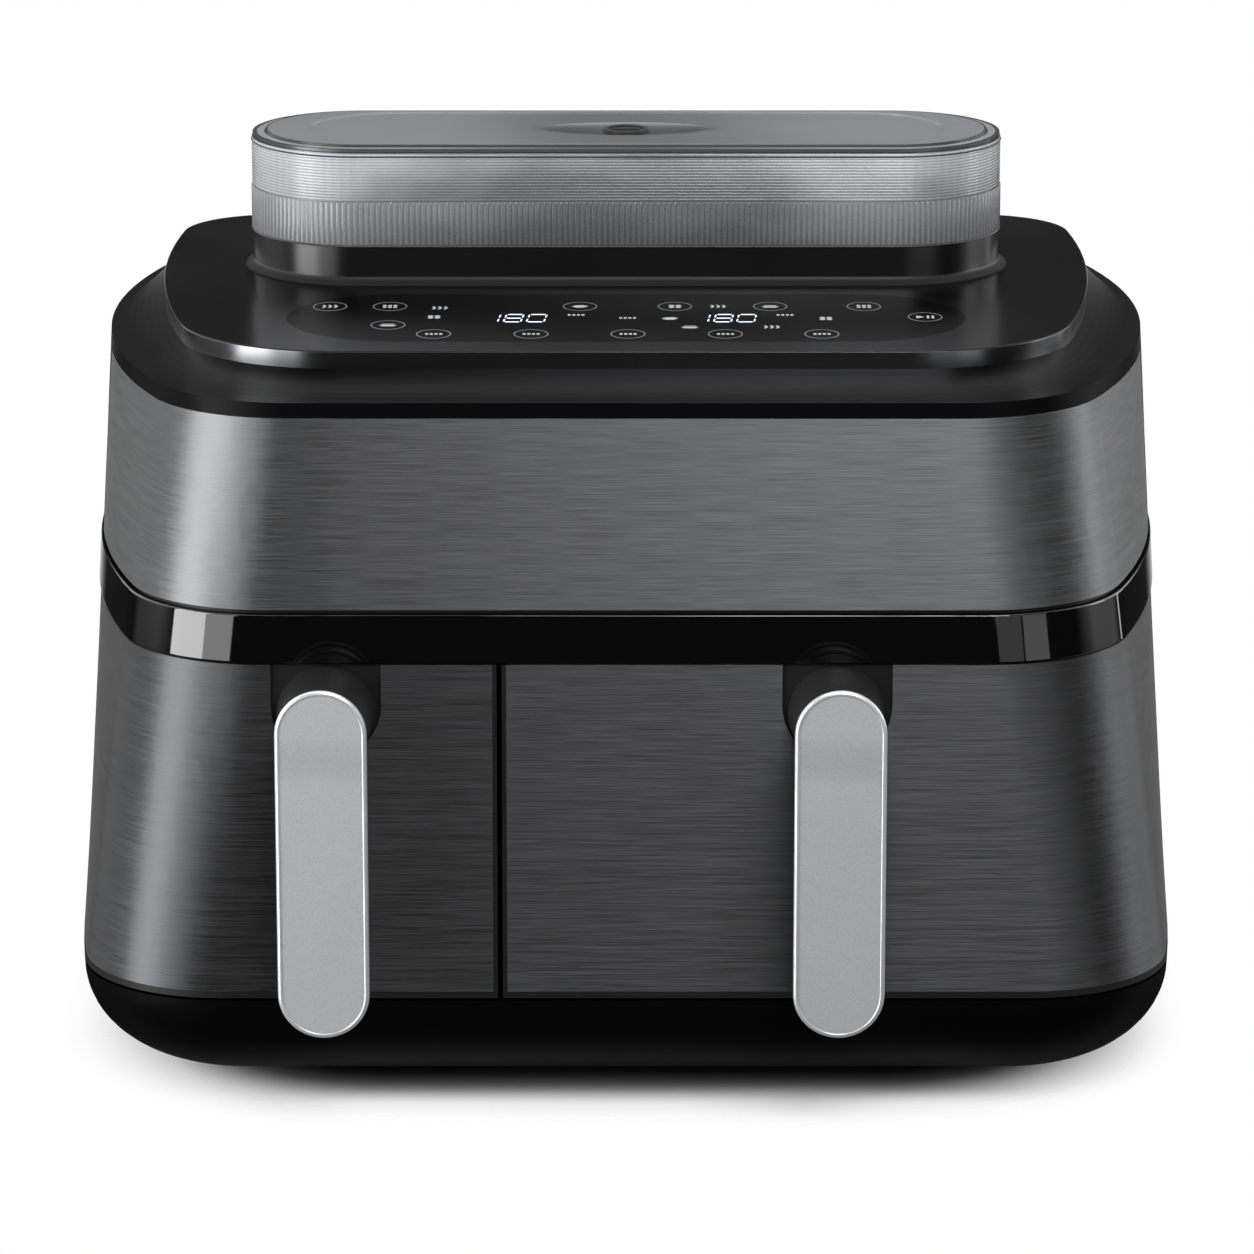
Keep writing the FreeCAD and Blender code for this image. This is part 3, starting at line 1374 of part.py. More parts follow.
def build_frame():
    """The frame behind the drawers, with an opening for each pan."""
    body = new_body("front_frame")
    middle_z = (DRAWER_Z + BAND_Z) / 2
    reach = HALF_WIDTH - d.chamber_margin + d.frame_margin
    sketch = draw(body, "XZ_Plane", (0, FRAME_Y, middle_z))
    draw_rectangle(sketch, 2 * reach, BAND_Z - DRAWER_Z, d.frame_wall)
    pad(body, sketch, d.frame_wall, backwards=True)
    for bay in BAYS:
        sketch = draw(body, "XZ_Plane", (bay.middle, FRAME_Y, CHAMBER_Z + d.chamber_height / 2))
        draw_rectangle(sketch, bay.chamber_width - 2 * d.chamber_wall, d.chamber_height - 2 * d.chamber_wall,
                       d.chamber_corner - d.chamber_wall)
        pocket(body, sketch, 2 * d.frame_wall)
    add_part("front_frame", body)


def build_small_controls():
    """The temperature sensors and the switches that the drawers press."""
    sensors = []
    switches = []
    for bay in BAYS:
        start = (bay.middle, CHAMBER_REAR - d.sensor_length / 2, CHAMBER_TOP - d.chamber_corner / 2)
        sensors.append(rod("sensor", d.sensor_radius, start, d.sensor_length, "y"))
        inner = bay.chamber_inner + bay.outer * d.chamber_corner
        outer = inner + bay.outer * d.switch_width
        x_span = (outer, inner) if bay.outer < 0 else (inner, outer)
        switches.append(block("switch", x_span, (CHAMBER_Y, CHAMBER_Y + d.switch_depth),
                              (CHAMBER_TOP, CHAMBER_TOP + d.switch_height)))
    add_part("temperature_sensors", group("sensors", sensors))
    add_part("drawer_switches", group("switches", switches))


# Steam and electrics


def nozzle_x(bay):
    return bay.outer * d.steam_spread - d.boiler_offset


def power_corners():
    """Return where the power board is screwed to the rear wall."""
    foot = BASE_TOP + d.power_lift
    return [(d.power_x + x * (d.power_width / 2 - 2 * d.board_boss),
             foot + d.power_height / 2 + z * (d.power_height / 2 - 2 * d.board_boss))
            for x in (-1, 1) for z in (-1, 1)]


def hose(name, corners):
    """Return a hollow tube along straight runs that are joined by tangent arcs."""
    points = [Vector(*(formula(amount).value for amount in corner)) for corner in corners]
    bend = d.hose_bend.value
    edges = []
    start = points[0]
    for before, corner, after in zip(points, points[1:], points[2:]):
        into = (corner - before).normalize()
        out = (after - corner).normalize()
        first = corner - into * bend
        last = corner + out * bend
        centre = first + out * bend
        edges.append(Part.LineSegment(start, first).toShape())
        edges.append(Part.Arc(first, centre + (corner - centre).normalize() * bend, last).toShape())
        start = last
    edges.append(Part.LineSegment(start, points[-1]).toShape())
    path = Part.Wire(edges)
    along = points[1] - points[0]
    tubes = [path.makePipeShell([Part.Wire(Part.makeCircle(radius.value, points[0], along))], True, False)
             for radius in (d.hose_radius, d.hose_bore)]
    piece = doc.addObject("Part::Feature", name)
    piece.Shape = tubes[0].cut(tubes[1])
    return piece


def build_steam():
    """The pump, the boiler and the hoses and nozzles that join them to the chambers."""
    pump_y = BEHIND_Y
    port = d.pump_port
    pump_middle = BASE_TOP + d.pump_height / 2
    pump = fuse("pump", rod("pump_can", d.pump_radius, (0, pump_y, BASE_TOP), d.pump_height),
                rod("pump_inlet", d.hose_radius, (0, pump_y, pump_middle), d.pump_height / 2 + port))
    add_part("water_pump", pump)

    boiler_x = -d.boiler_offset
    body = new_body("steam_boiler")
    sketch = draw(body, "XY_Plane", (boiler_x, BEHIND_Y, BASE_TOP))
    draw_rectangle(sketch, d.boiler_width, d.boiler_depth, d.boiler_fin)
    pad(body, sketch, d.boiler_height)
    rows = int(d.boiler_height.value / (4 * d.boiler_fin.value))
    sketch = draw(body, "XZ_Plane", (boiler_x, BEHIND_Y + d.boiler_depth / 2, BASE_TOP + 3 * d.boiler_fin))
    draw_rectangle(sketch, d.boiler_width - 4 * d.boiler_fin, d.boiler_fin, d.boiler_fin / 4)
    fin = pocket(body, sketch, 2 * d.boiler_fin, backwards=True)
    fins = body.newObject("PartDesign::LinearPattern", "boiler_fins")
    fins.Originals = [fin]
    fins.Direction = (sketch, ["V_Axis"])
    fins.Occurrences = rows
    bind(fins, "Length", 4 * d.boiler_fin * (rows - 1))
    body.Tip = fins
    add_part("steam_boiler", body)

    spigot = (0, d.tank_y, SPIGOT_END)
    level = SPIGOT_END - d.hose_bend - d.hose_radius
    inlet = BASE_TOP + d.pump_height + port
    supply = hose("supply_hose", [spigot, (0, d.tank_y, level), (0, pump_y, level), (0, pump_y, inlet)])
    feed_start = boiler_x + d.boiler_width / 2
    feed = cut("feed", rod("feed_tube", d.hose_radius, (feed_start, pump_y, pump_middle),
                           -feed_start - d.pump_radius, "x"),
               rod("feed_bore", d.hose_bore, (feed_start, pump_y, pump_middle), d.body_width, "x"))
    add_part("water_hose", group("water_hose", [supply, feed]))

    hoses = []
    nozzles = []
    rise = CHAMBER_TOP + d.hose_rise
    for bay in BAYS:
        x = nozzle_x(bay)
        mouth = CHAMBER_TOP + d.nozzle_height
        hoses.append(hose("steam_hose", [(x, BEHIND_Y, BASE_TOP + d.boiler_height), (x, BEHIND_Y, rise),
                                         (x, NOZZLE_Y, rise), (x, NOZZLE_Y, mouth)]))
        seat = (x, NOZZLE_Y, CHAMBER_TOP)
        nozzles.append(cut("nozzle", rod("nozzle", d.hose_radius, seat, d.nozzle_height),
                           rod("nozzle_bore", d.hose_bore, seat, d.nozzle_height)))
    add_part("steam_hoses", group("steam_hoses", hoses))
    add_part("steam_nozzles", group("steam_nozzles", nozzles))


def build_power_board():
    """The upright power board with its tall components."""
    foot = BASE_TOP + d.power_lift
    left = d.power_x - d.power_width / 2
    face = POWER_Y + d.board_wall
    board = block("power_plate", (left, left + d.power_width), (POWER_Y, face), (foot, foot + d.power_height))
    unit = d.power_width / 10
    pieces = [board]
    pieces.append(block("transformer", (left + 2 * unit, left + 5 * unit), (POWER_Y, face + 2 * unit),
                        (foot + 2 * unit, foot + 4 * unit)))
    pieces.append(block("heat_sink", (left + 6 * unit, left + 8 * unit), (POWER_Y, face + 2 * unit),
                        (foot + 3 * unit, foot + 5 * unit)))
    for column in range(3):
        place = (left + (2 + 2 * column) * unit, POWER_Y, foot + unit)
        pieces.append(rod("capacitor", unit / 2, place, 2 * unit, "y"))
    add_part("power_board", fuse("power_board", *pieces))


def main():
    """Build every piece of the document."""
    build_base()
    build_housing()
    build_front_panel()
    build_band()
    build_top_cover()
    build_deck()
    build_collar()
    build_tank()
    for bay in BAYS:
        build_front(bay)
        build_pan(bay)
        build_chamber(bay)
        build_hot_air(bay)
    build_frame()
    build_small_controls()
    build_steam()
    build_power_board()


main()
doc.recompute()
for piece in doc.Objects:
    if "Invalid" in piece.State or "Error" in piece.State:
        raise RuntimeError("%s failed: %s" % (piece.Label, piece.State))
os.makedirs("parts", exist_ok=True)
for piece in parts:
    shape = piece.Shape
    if shape.isNull() or not shape.isValid():
        raise RuntimeError("%s has no valid shape" % piece.Label)
    shape.exportStep("parts/%s.step" % piece.Label)
    print("%-22s solids %2d  volume %10.0f  %s" % (
        piece.Label, len(shape.Solids), shape.Volume, shape.BoundBox))
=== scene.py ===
"""Dress the two-drawer steam air fryer: its finishes, handles, ribbed tank, control marks and studio."""
from __future__ import annotations

import logging
import math
from dataclasses import dataclass
from enum import Enum
from typing import Any, Iterable, Mapping, Sequence, Union

import bmesh
import bpy
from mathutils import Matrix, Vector

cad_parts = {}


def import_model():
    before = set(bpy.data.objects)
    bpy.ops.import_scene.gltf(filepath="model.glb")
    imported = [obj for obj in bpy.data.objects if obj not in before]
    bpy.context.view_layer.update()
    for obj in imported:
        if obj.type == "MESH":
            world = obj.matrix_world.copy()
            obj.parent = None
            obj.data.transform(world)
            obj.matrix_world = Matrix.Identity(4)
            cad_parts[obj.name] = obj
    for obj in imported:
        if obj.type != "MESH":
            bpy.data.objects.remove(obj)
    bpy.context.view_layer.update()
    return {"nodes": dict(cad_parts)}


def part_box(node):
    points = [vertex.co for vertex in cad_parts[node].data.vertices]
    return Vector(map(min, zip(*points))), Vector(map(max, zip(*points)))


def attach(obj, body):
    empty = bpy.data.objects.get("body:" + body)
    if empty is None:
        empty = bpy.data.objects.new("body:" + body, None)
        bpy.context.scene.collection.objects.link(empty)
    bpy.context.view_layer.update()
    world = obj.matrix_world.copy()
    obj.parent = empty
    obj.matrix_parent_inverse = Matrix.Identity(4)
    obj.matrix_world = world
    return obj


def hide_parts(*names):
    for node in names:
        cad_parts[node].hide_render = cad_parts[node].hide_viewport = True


LOG = logging.getLogger("air_fryer")
PHOTO_PIXELS = 1254
MM = 0.001
# The tank's plan in metres: its middle, half its straight part, and the radius of its ends
TANK_Y, TANK_STRAIGHT, TANK_RADIUS = 0.06325, 0.11275, 0.047
CLOUD_SCALE = 14.0
WHITE = (1.0, 1.0, 1.0, 1.0)
Colour = tuple[float, float, float, float]
Point = tuple[float, float]
Place = tuple[float, float, float]
Span = tuple[float, float]
Amount = Union[float, "Wire"]


def grey(level: float, blue: float = 0.0) -> Colour:
    """Return an opaque, slightly cool grey with a little blue added."""
    return (level * 0.985, level, level * 1.015 + blue, 1.0)


class Wire:
    """A shader socket that adds Math nodes when it is used in an expression."""

    def __init__(self, graph: Graph, socket: bpy.types.NodeSocket) -> None:
        """Keep the socket and the graph that it belongs to."""
        self.graph = graph
        self.socket = socket

    def _join(self, operation: str, *amounts: Amount) -> Wire:
        """Return the result of a Math node on some amounts."""
        return self.graph.node("ShaderNodeMath", {"operation": operation}, dict(enumerate(amounts)))

    def __add__(self, other: Amount) -> Wire:
        """Add an amount."""
        return self._join("ADD", self, other)

    def __sub__(self, other: Amount) -> Wire:
        """Take an amount away."""
        return self._join("SUBTRACT", self, other)

    def __mul__(self, other: Amount) -> Wire:
        """Multiply by an amount."""
        return self._join("MULTIPLY", self, other)

    def __radd__(self, other: float) -> Wire:
        """Add to a number."""
        return self._join("ADD", other, self)

    def __rsub__(self, other: float) -> Wire:
        """Take from a number."""
        return self._join("SUBTRACT", other, self)

    def __rmul__(self, other: float) -> Wire:
        """Multiply a number."""
        return self._join("MULTIPLY", other, self)

    def __lt__(self, other: Amount) -> Wire:
        """Return 1 where this is the less."""
        return self._join("LESS_THAN", self, other)

    def larger(self, other: Amount) -> Wire:
        """Return the larger of two amounts."""
        return self._join("MAXIMUM", self, other)

    def size(self) -> Wire:
        """Return the size without its sign."""
        return self._join("ABSOLUTE", self)

    def sine(self) -> Wire:
        """Return the sine."""
        return self._join("SINE", self)

    def ease(self, low: float, high: float) -> Wire:
        """Rise smoothly from 0 at one value to 1 at another.

        Args:
            low: The value that gives 0.
            high: The value that gives 1.

        Returns:
            The eased value.
        """
        settings = {"interpolation_type": "SMOOTHSTEP"}
        return self.graph.node("ShaderNodeMapRange", settings, {"Value": self, "From Min": low, "From Max": high})

    def between(self, start: Span, end: Span) -> Wire:
        """Rise smoothly over one span and fall over another."""
        return self.ease(*start) * (1.0 - self.ease(*end))


class Graph:
    """The node tree of one material or world."""

    def __init__(self, owner: Union[bpy.types.Material, bpy.types.World]) -> None:
        """Clear the owner's node tree."""
        owner.use_nodes = True
        self.tree = owner.node_tree
        self.tree.nodes.clear()

    def node(self, kind: str, settings: Mapping[str, Any] | None = None,
             inputs: Mapping[Union[str, int], Any] | None = None, output: Union[str, int] = 0) -> Wire:
        """Add a node.

        Args:
            kind: The node's type.
            settings: Its properties, which are set first.
            inputs: Values or wires for its sockets.
            output: The socket to return.

        Returns:
            The chosen output.
        """
        made = self.tree.nodes.new(kind)
        for name, setting in (settings or {}).items():
            setattr(made, name, setting)
        for name, amount in (inputs or {}).items():
            if isinstance(amount, Wire):
                self.tree.links.new(amount.socket, made.inputs[name])
            else:
                made.inputs[name].default_value = amount
        return Wire(self, made.outputs[output]) if made.outputs else Wire(self, None)

    def place(self) -> Wire:
        """Return the object's own coordinates, in metres."""
        return self.node("ShaderNodeTexCoord", output="Object")

    def axis(self, vector: Wire, name: str) -> Wire:
        """Return one coordinate of a vector."""
        return self.node("ShaderNodeSeparateXYZ", inputs={0: vector}, output=name)

    def vector(self, operation: str, *amounts: Union[Wire, Sequence[float]]) -> Wire:
        """Return the result of a Vector Math node on some vectors."""
        inputs = {number: amount if isinstance(amount, Wire) else tuple(amount)
                  for number, amount in enumerate(amounts)}
        return self.node("ShaderNodeVectorMath", {"operation": operation}, inputs)

    def stretch(self, vector: Wire, scale: Sequence[float]) -> Wire:
        """Scale a vector along each axis."""
        return self.vector("MULTIPLY", vector, scale)

    def length(self, vector: Wire) -> Wire:
        """Return a vector's length."""
        return self.node("ShaderNodeVectorMath", {"operation": "LENGTH"}, {0: vector}, "Value")

    def outside(self, vector: Wire, half: Sequence[float]) -> Wire:
        """Return how far a point lies outside a box about the origin, from half its sizes."""
        away = self.vector("SUBTRACT", self.vector("ABSOLUTE", vector), half)
        return self.length(self.vector("MAXIMUM", away, (0.0, 0.0, 0.0)))

    def noise(self, vector: Wire, scale: float, detail: float = 3.0, rough: float = 0.55) -> Wire:
        """Return a noise value from 0 to 1."""
        inputs = {"Vector": vector, "Scale": scale, "Detail": detail, "Roughness": rough}
        return self.node("ShaderNodeTexNoise", inputs=inputs)

    def mix(self, factor: Wire, low: Union[Colour, Wire], high: Union[Colour, Wire]) -> Wire:
        """Mix two colours."""
        return self.node("ShaderNodeMix", {"data_type": "RGBA"}, {0: factor, 6: low, 7: high}, 2)

    def clouded(self, cloud: Wire, tone: float, blue: float = 0.0006) -> Wire:
        """Return a grey that a slow cloud makes a little darker and lighter."""
        return self.mix(cloud, grey(tone * 0.85), grey(tone * 1.2, blue))

    def bump(self, height: Wire, strength: float, distance: float) -> Wire:
        """Return a normal that follows a height."""
        inputs = {"Strength": strength, "Distance": distance, "Height": height}
        return self.node("ShaderNodeBump", inputs=inputs, output="Normal")

    def principled(self, **sockets: Any) -> None:
        """Add the surface shader and its output.

        Args:
            sockets: Socket names with underscores for spaces, and their values or wires.
        """
        inputs = {name.replace("_", " "): amount for name, amount in sockets.items()}
        self.finish(self.node("ShaderNodeBsdfPrincipled", inputs=inputs))

    def finish(self, shader: Wire, kind: str = "ShaderNodeOutputMaterial") -> None:
        """Send a shader to the output."""
        self.node(kind, inputs={"Surface": shader})


@dataclass(frozen=True)
class Finish:
    """A surface finish that makes one material."""

    name: str

    def material(self) -> bpy.types.Material:
        """Return the finish's material, made once."""
        found = bpy.data.materials.get(self.name)
        if found is None:
            found = bpy.data.materials.new(self.name)
            self.shade(Graph(found))
        return found

    def shade(self, graph: Graph) -> None:
        """Fill the material's node tree."""
        raise NotImplementedError


@dataclass(frozen=True)
class BrushedSteel(Finish):
    """Dark sheet steel with a horizontal brushed grain."""

    dark: float = 0.1
    light: float = 0.2
    roughness: float = 0.52
    grain_length: float = 0.026
    grain_width: float = 0.00028
    grain_depth: float = 0.000024
    fine_share: float = 0.88
    tone_span: Span = (0.28, 0.72)
    sheen: float = 0.18
    blend_start: Span = (0.115, 0.165)
    blend_fall: float = 0.0017
    blend_end: Span = (0.16, 0.215)
    blend_rise: float = 0.0029

    def shade(self, graph: Graph) -> None:
        """Lay short fine streaks over long faint ones, and ease the light round the corners."""
        place = graph.place()
        along = 1 / self.grain_length
        across = 1 / self.grain_width
        fine = graph.noise(graph.stretch(place, (along, along, across)), 1.0, 4.0, 0.65)
        broad = graph.noise(graph.stretch(place, (along / 5, along / 5, across / 6)), 1.0, 2.0)
        streak = fine * self.fine_share + broad * (1 - self.fine_share)
        tone = streak.ease(*self.tone_span)
        out = graph.axis(place, "X").size()
        blend = out.ease(*self.blend_end) * self.blend_rise - out.ease(*self.blend_start) * self.blend_fall
        graph.principled(
            Base_Color=graph.mix(tone, grey(self.dark), grey(self.light, 0.004)),
            Metallic=1.0,
            Roughness=self.roughness + (tone - 0.5) * self.sheen,
            Anisotropic=0.8,
            Anisotropic_Rotation=0.25,
            Normal=graph.bump(streak * self.grain_depth + blend, 1.0, 1.0))


@dataclass(frozen=True)
class MouldedPlastic(Finish):
    """Satin plastic with a fine moulded texture."""

    tone: float = 0.012
    roughness: float = 0.42
    specular: float = 0.3
    texture: float = 0.25
    grain: float = 0.0007

    def shade(self, graph: Graph) -> None:
        """Add a fine pebble texture and a slow change of sheen."""
        place = graph.place()
        pebble = graph.noise(place, 1 / self.grain, 2.0)
        cloud = graph.noise(place, CLOUD_SCALE)
        graph.principled(
            Base_Color=graph.clouded(cloud, self.tone),
            Roughness=self.roughness + (cloud - 0.5) * 0.1 + (pebble - 0.5) * 0.06,
            Specular_IOR_Level=self.specular,
            Normal=graph.bump(pebble, self.texture, 0.00008))


@dataclass(frozen=True)
class DraftedPlastic(MouldedPlastic):
    """Satin plastic that takes the light as a wall with a few degrees of draft."""

    draft: float = 0.1
    pebble_depth: float = 0.000006
    foot: Span = (0.3099, 0.3123)
    foot_dulling: float = 0.6

    def shade(self, graph: Graph) -> None:
        """Tip the wall's shading upwards under a fine texture, and dull its foot."""
        place = graph.place()
        pebble = graph.noise(place, 1 / self.grain, 2.0)
        cloud = graph.noise(place, CLOUD_SCALE)
        height = graph.axis(place, "Z")
        slope = height * -self.draft
        foot = 1.0 - height.ease(*self.foot)
        graph.principled(
            Base_Color=graph.clouded(cloud, self.tone),
            Roughness=self.roughness + (cloud - 0.5) * 0.08 + foot * self.foot_dulling,
            Specular_IOR_Level=self.specular,
            Normal=graph.bump(slope + pebble * self.pebble_depth, 1.0, 1.0))


@dataclass(frozen=True)
class RimmedPlastic(Finish):
    """The deck's satin plastic, with a dark polished metal edge."""

    tone: float = 0.002
    roughness: float = 0.22
    specular: float = 0.13
    edge: float = 0.17
    edge_roughness: float = 0.22
    pebble_scale: float = 1400.0
    level_span: Span = (0.15, 0.5)

    def shade(self, graph: Graph) -> None:
        """Polish what stands upright and keep the rest satin."""
        place = graph.place()
        pebble = graph.noise(place, self.pebble_scale, 2.0)
        cloud = graph.noise(place, CLOUD_SCALE)
        level = graph.axis(graph.node("ShaderNodeNewGeometry", output="Normal"), "Z")
        upright = 1.0 - level.ease(*self.level_span)
        satin = graph.clouded(cloud, self.tone, 0.0004)
        rough = self.roughness + (cloud - 0.5) * 0.1
        graph.principled(
            Base_Color=graph.mix(upright, satin, grey(self.edge, 0.004)),
            Metallic=upright,
            Roughness=rough + upright * (self.edge_roughness - rough),
            Specular_IOR_Level=self.specular,
            Normal=graph.bump(pebble * (1.0 - upright), 0.1, 0.00006))


@dataclass(frozen=True)
class GlossPlastic(Finish):
    """Polished black plastic or glass with a trace of handling."""

    tone: float = 0.001
    roughness: float = 0.04
    specular: float = 0.8
    wiping: Sequence[float] = (30.0, 90.0, 140.0)
    smear: Span = (0.45, 0.8)

    def shade(self, graph: Graph) -> None:
        """Vary the gloss a little, as wiping does."""
        wipe = graph.noise(graph.stretch(graph.place(), self.wiping), 1.0, 4.0)
        graph.principled(
            Base_Color=graph.mix(wipe, grey(self.tone * 0.8), grey(self.tone * 1.3, 0.0002)),
            Roughness=self.roughness + wipe.ease(*self.smear) * 0.04,
            Specular_IOR_Level=self.specular)


@dataclass(frozen=True)
class GrainedAluminium(Finish):
    """The handle's silver face, sanded to a fine grain."""

    face: float = 0.46
    metallic: float = 0.5
    roughness: float = 0.42
    grain: float = 0.00033
    contrast: float = 0.14
    hollow: float = 0.0018
    hollow_span: Span = (0.154, 0.174)
    grain_depth: float = 0.00001

    def shade(self, graph: Graph) -> None:
        """Sand the metal and turn it down a little near its top."""
        place = graph.place()
        grain = graph.noise(place, 1 / self.grain, 2.0, 0.7)
        cloud = graph.noise(place, 40.0, 2.0)
        turn = graph.axis(place, "Z").ease(*self.hollow_span) * self.hollow
        dark, light = grey(self.face * (1 - self.contrast)), grey(self.face * (1 + self.contrast), 0.006)
        graph.principled(
            Base_Color=graph.mix(grain.ease(0.3, 0.7) * 0.8 + cloud * 0.2, dark, light),
            Metallic=self.metallic,
            Roughness=self.roughness + (grain - 0.5) * 0.2,
            Normal=graph.bump(grain * self.grain_depth + turn, 1.0, 1.0))


@dataclass(frozen=True)
class FrostedPlastic(Finish):
    """Smoky see-through plastic with a frosted inside."""

    dark: float = 0.16
    light: float = 0.34
    alpha: float = 0.82
    roughness: float = 0.28
    texture: float = 0.04
    grain_scale: float = 1800.0

    def reach(self, graph: Graph, place: Wire) -> Wire:
        """Return how far a point lies from the tank's middle line, seen from above."""
        flat = graph.vector("SUBTRACT", graph.stretch(place, (1.0, 1.0, 0.0)), (0.0, TANK_Y, 0.0))
        return graph.outside(flat, (TANK_STRAIGHT, 0.0, 0.0))

    def surface(self, graph: Graph, place: Wire, tint: Wire) -> None:
        """Give a tint the plastic's soft gloss and its faint see-through."""
        grain = graph.noise(place, self.grain_scale, 2.0)
        graph.principled(
            Base_Color=tint,
            Roughness=self.roughness + (grain - 0.5) * 0.08,
            Alpha=self.alpha + (grain - 0.5) * 0.02,
            Coat_Weight=0.25,
            Coat_Roughness=0.12,
            Normal=graph.bump(grain, self.texture, 0.00005))

    def shade(self, graph: Graph) -> None:
        """Cloud the tint slowly."""
        place = graph.place()
        cloud = graph.noise(graph.stretch(place, (11.0, 11.0, 7.0)), 1.0, 2.0)
        self.surface(graph, place, graph.mix(cloud, grey(self.dark, 0.004), grey(self.light, 0.008)))


@dataclass(frozen=True)
class RibbedPlastic(FrostedPlastic):
    """The tank wall's frosted plastic, with a painted highlight on its ribs and painted light towards its ends, and
    paler up its height.
    """

    rise: float = 0.0005
    # How far the painted highlight on the rib crests and the painted shade in the valleys part them
    contrast: float = 0.2
    height: Span = (0.325, 0.364)
    # The distances from the middle over which painted light pales the wall towards its ends
    ends: Span = (0.03, 0.12)
    cloud_span: Span = (0.3, 0.7)
    cloud_share: float = 0.35
    painted_end_light_share: float = 0.65
    height_share: float = 0.4
    deepening: float = 0.3

    def shade(self, graph: Graph) -> None:
        """Paint a highlight on what stands off the wall and light towards the ends, and cloud the rest."""
        place = graph.place()
        cloud = graph.noise(graph.stretch(place, (15.0, 8.0, 30.0)), 1.0, 2.0)
        # Painted light: the wall pales towards its ends.
        pale = graph.axis(place, "X").size().ease(*self.ends)
        higher = graph.axis(place, "Z").ease(*self.height)
        share = cloud.ease(*self.cloud_span) * self.cloud_share + pale * self.painted_end_light_share + higher * self.height_share
        share = (share - self.deepening).ease(0.0, 1.0)
        # Painted highlight and shade: the rib crests take a paler tint and the valleys between them a darker one.
        painted_rib_highlight = (self.reach(graph, place) - TANK_RADIUS).ease(0.0, self.rise)
        shaded_valley, highlit_crest = (graph.mix(share, grey(self.dark * level, 0.003), grey(self.light * level, 0.008))
                         for level in (1 - self.contrast, 1 + self.contrast))
        self.surface(graph, place, graph.mix(painted_rib_highlight, shaded_valley, highlit_crest))


@dataclass(frozen=True)
class FrostedLid(FrostedPlastic):
    """The lid's frosted plastic, with painted shade in its dish and towards its middle, and painted dark lines of
    shade along its brim and its step.
    """

    brim: Span = (0.0019, 0.0025)
    ledge: Span = (0.0051, 0.0055)
    step: Span = (0.0066, 0.007)
    # The ledge's tones at its ends and middle, as painted light and shade, and the tone of the painted dark lines
    painted_ledge_tones: Span = (0.36, 0.12)
    painted_line_shade: float = 0.05
    dish: Span = (0.042, 0.017)
    dish_edge: Span = (0.7, 1.05)
    panel_top: float = 0.36685
    painted_dish_shade: float = 0.08
    # The distance from the middle over which the painted shade of the middle fades out
    ends: float = 0.1
    painted_middle_shade: float = 0.7
    cloud_share: float = 0.5
    paling: float = 0.1

    def shade(self, graph: Graph) -> None:
        """Paint shade on the panel towards its middle and more in the long dish, and paint dark lines of shade along
        the brim and before the step.
        """
        place = graph.place()
        cloud = graph.noise(graph.stretch(place, (12.0, 12.0, 7.0)), 1.0, 2.0)
        flat = graph.vector("SUBTRACT", place, (0.0, TANK_Y, 0.0))
        flat = graph.stretch(flat, (1 / self.dish[0], 1 / self.dish[1], 0.0))
        dish = 1.0 - graph.length(flat).ease(*self.dish_edge)
        # Painted shade: the sunk panel darkens towards its middle.
        panel = graph.axis(place, "Z") < self.panel_top
        middle = 1.0 - graph.axis(place, "X").size().ease(0.0, self.ends)
        share = panel * middle * self.painted_middle_shade + cloud * self.cloud_share
        share = (share - self.paling).ease(0.0, 1.0)
        tint = graph.mix(share, grey(self.light, 0.008), grey(self.dark, 0.006))
        # Painted shade darkens the long dish.
        tint = graph.mix(dish, tint, grey(self.painted_dish_shade, 0.004))
        inset = TANK_RADIUS - self.reach(graph, place)
        # Painted light and shade: the ledge is paler at the ends and darker in the middle, and painted dark lines of
        # shade run along the brim and before the step.
        ledge = graph.mix(middle, *(grey(tone, 0.006) for tone in self.painted_ledge_tones))
        ledge = graph.mix(inset.between(self.brim, self.ledge), grey(self.painted_line_shade), ledge)
        self.surface(graph, place, graph.mix(inset.ease(*self.step), ledge, tint))


@dataclass(frozen=True)
class RolledMetal(Finish):
    """Plain sheet, cast or turned metal inside the body."""

    dark: float = 0.32
    light: float = 0.5
    roughness: float = 0.38
    grain: Sequence[float] = (30.0, 30.0, 400.0)

    def shade(self, graph: Graph) -> None:
        """Streak the metal along the way it was rolled."""
        place = graph.place()
        streak = graph.noise(graph.stretch(place, self.grain), 1.0, 3.0)
        blotch = graph.noise(place, 22.0, 3.0)
        graph.principled(
            Base_Color=graph.mix(streak * 0.6 + blotch * 0.4, grey(self.dark), grey(self.light, 0.006)),
            Metallic=1.0,
            Roughness=self.roughness + (blotch - 0.5) * 0.18,
            Normal=graph.bump(streak, 0.1, 0.0002))


@dataclass(frozen=True)
class NonStick(Finish):
    """Dark speckled coating of the pans and plates."""

    tone: float = 0.02
    speck_scale: float = 900.0
    speck_span: Span = (0.62, 0.7)

    def shade(self, graph: Graph) -> None:
        """Scatter pale specks in a satin coat."""
        place = graph.place()
        speck = graph.noise(place, self.speck_scale, 2.0).ease(*self.speck_span)
        cloud = graph.noise(place, 18.0, 2.0)
        graph.principled(
            Base_Color=graph.mix(speck * 0.5, grey(self.tone), grey(self.tone * 5)),
            Roughness=0.34 + (cloud - 0.5) * 0.14,
            Specular_IOR_Level=0.4,
            Normal=graph.bump(speck + cloud * 0.4, 0.12, 0.0001))


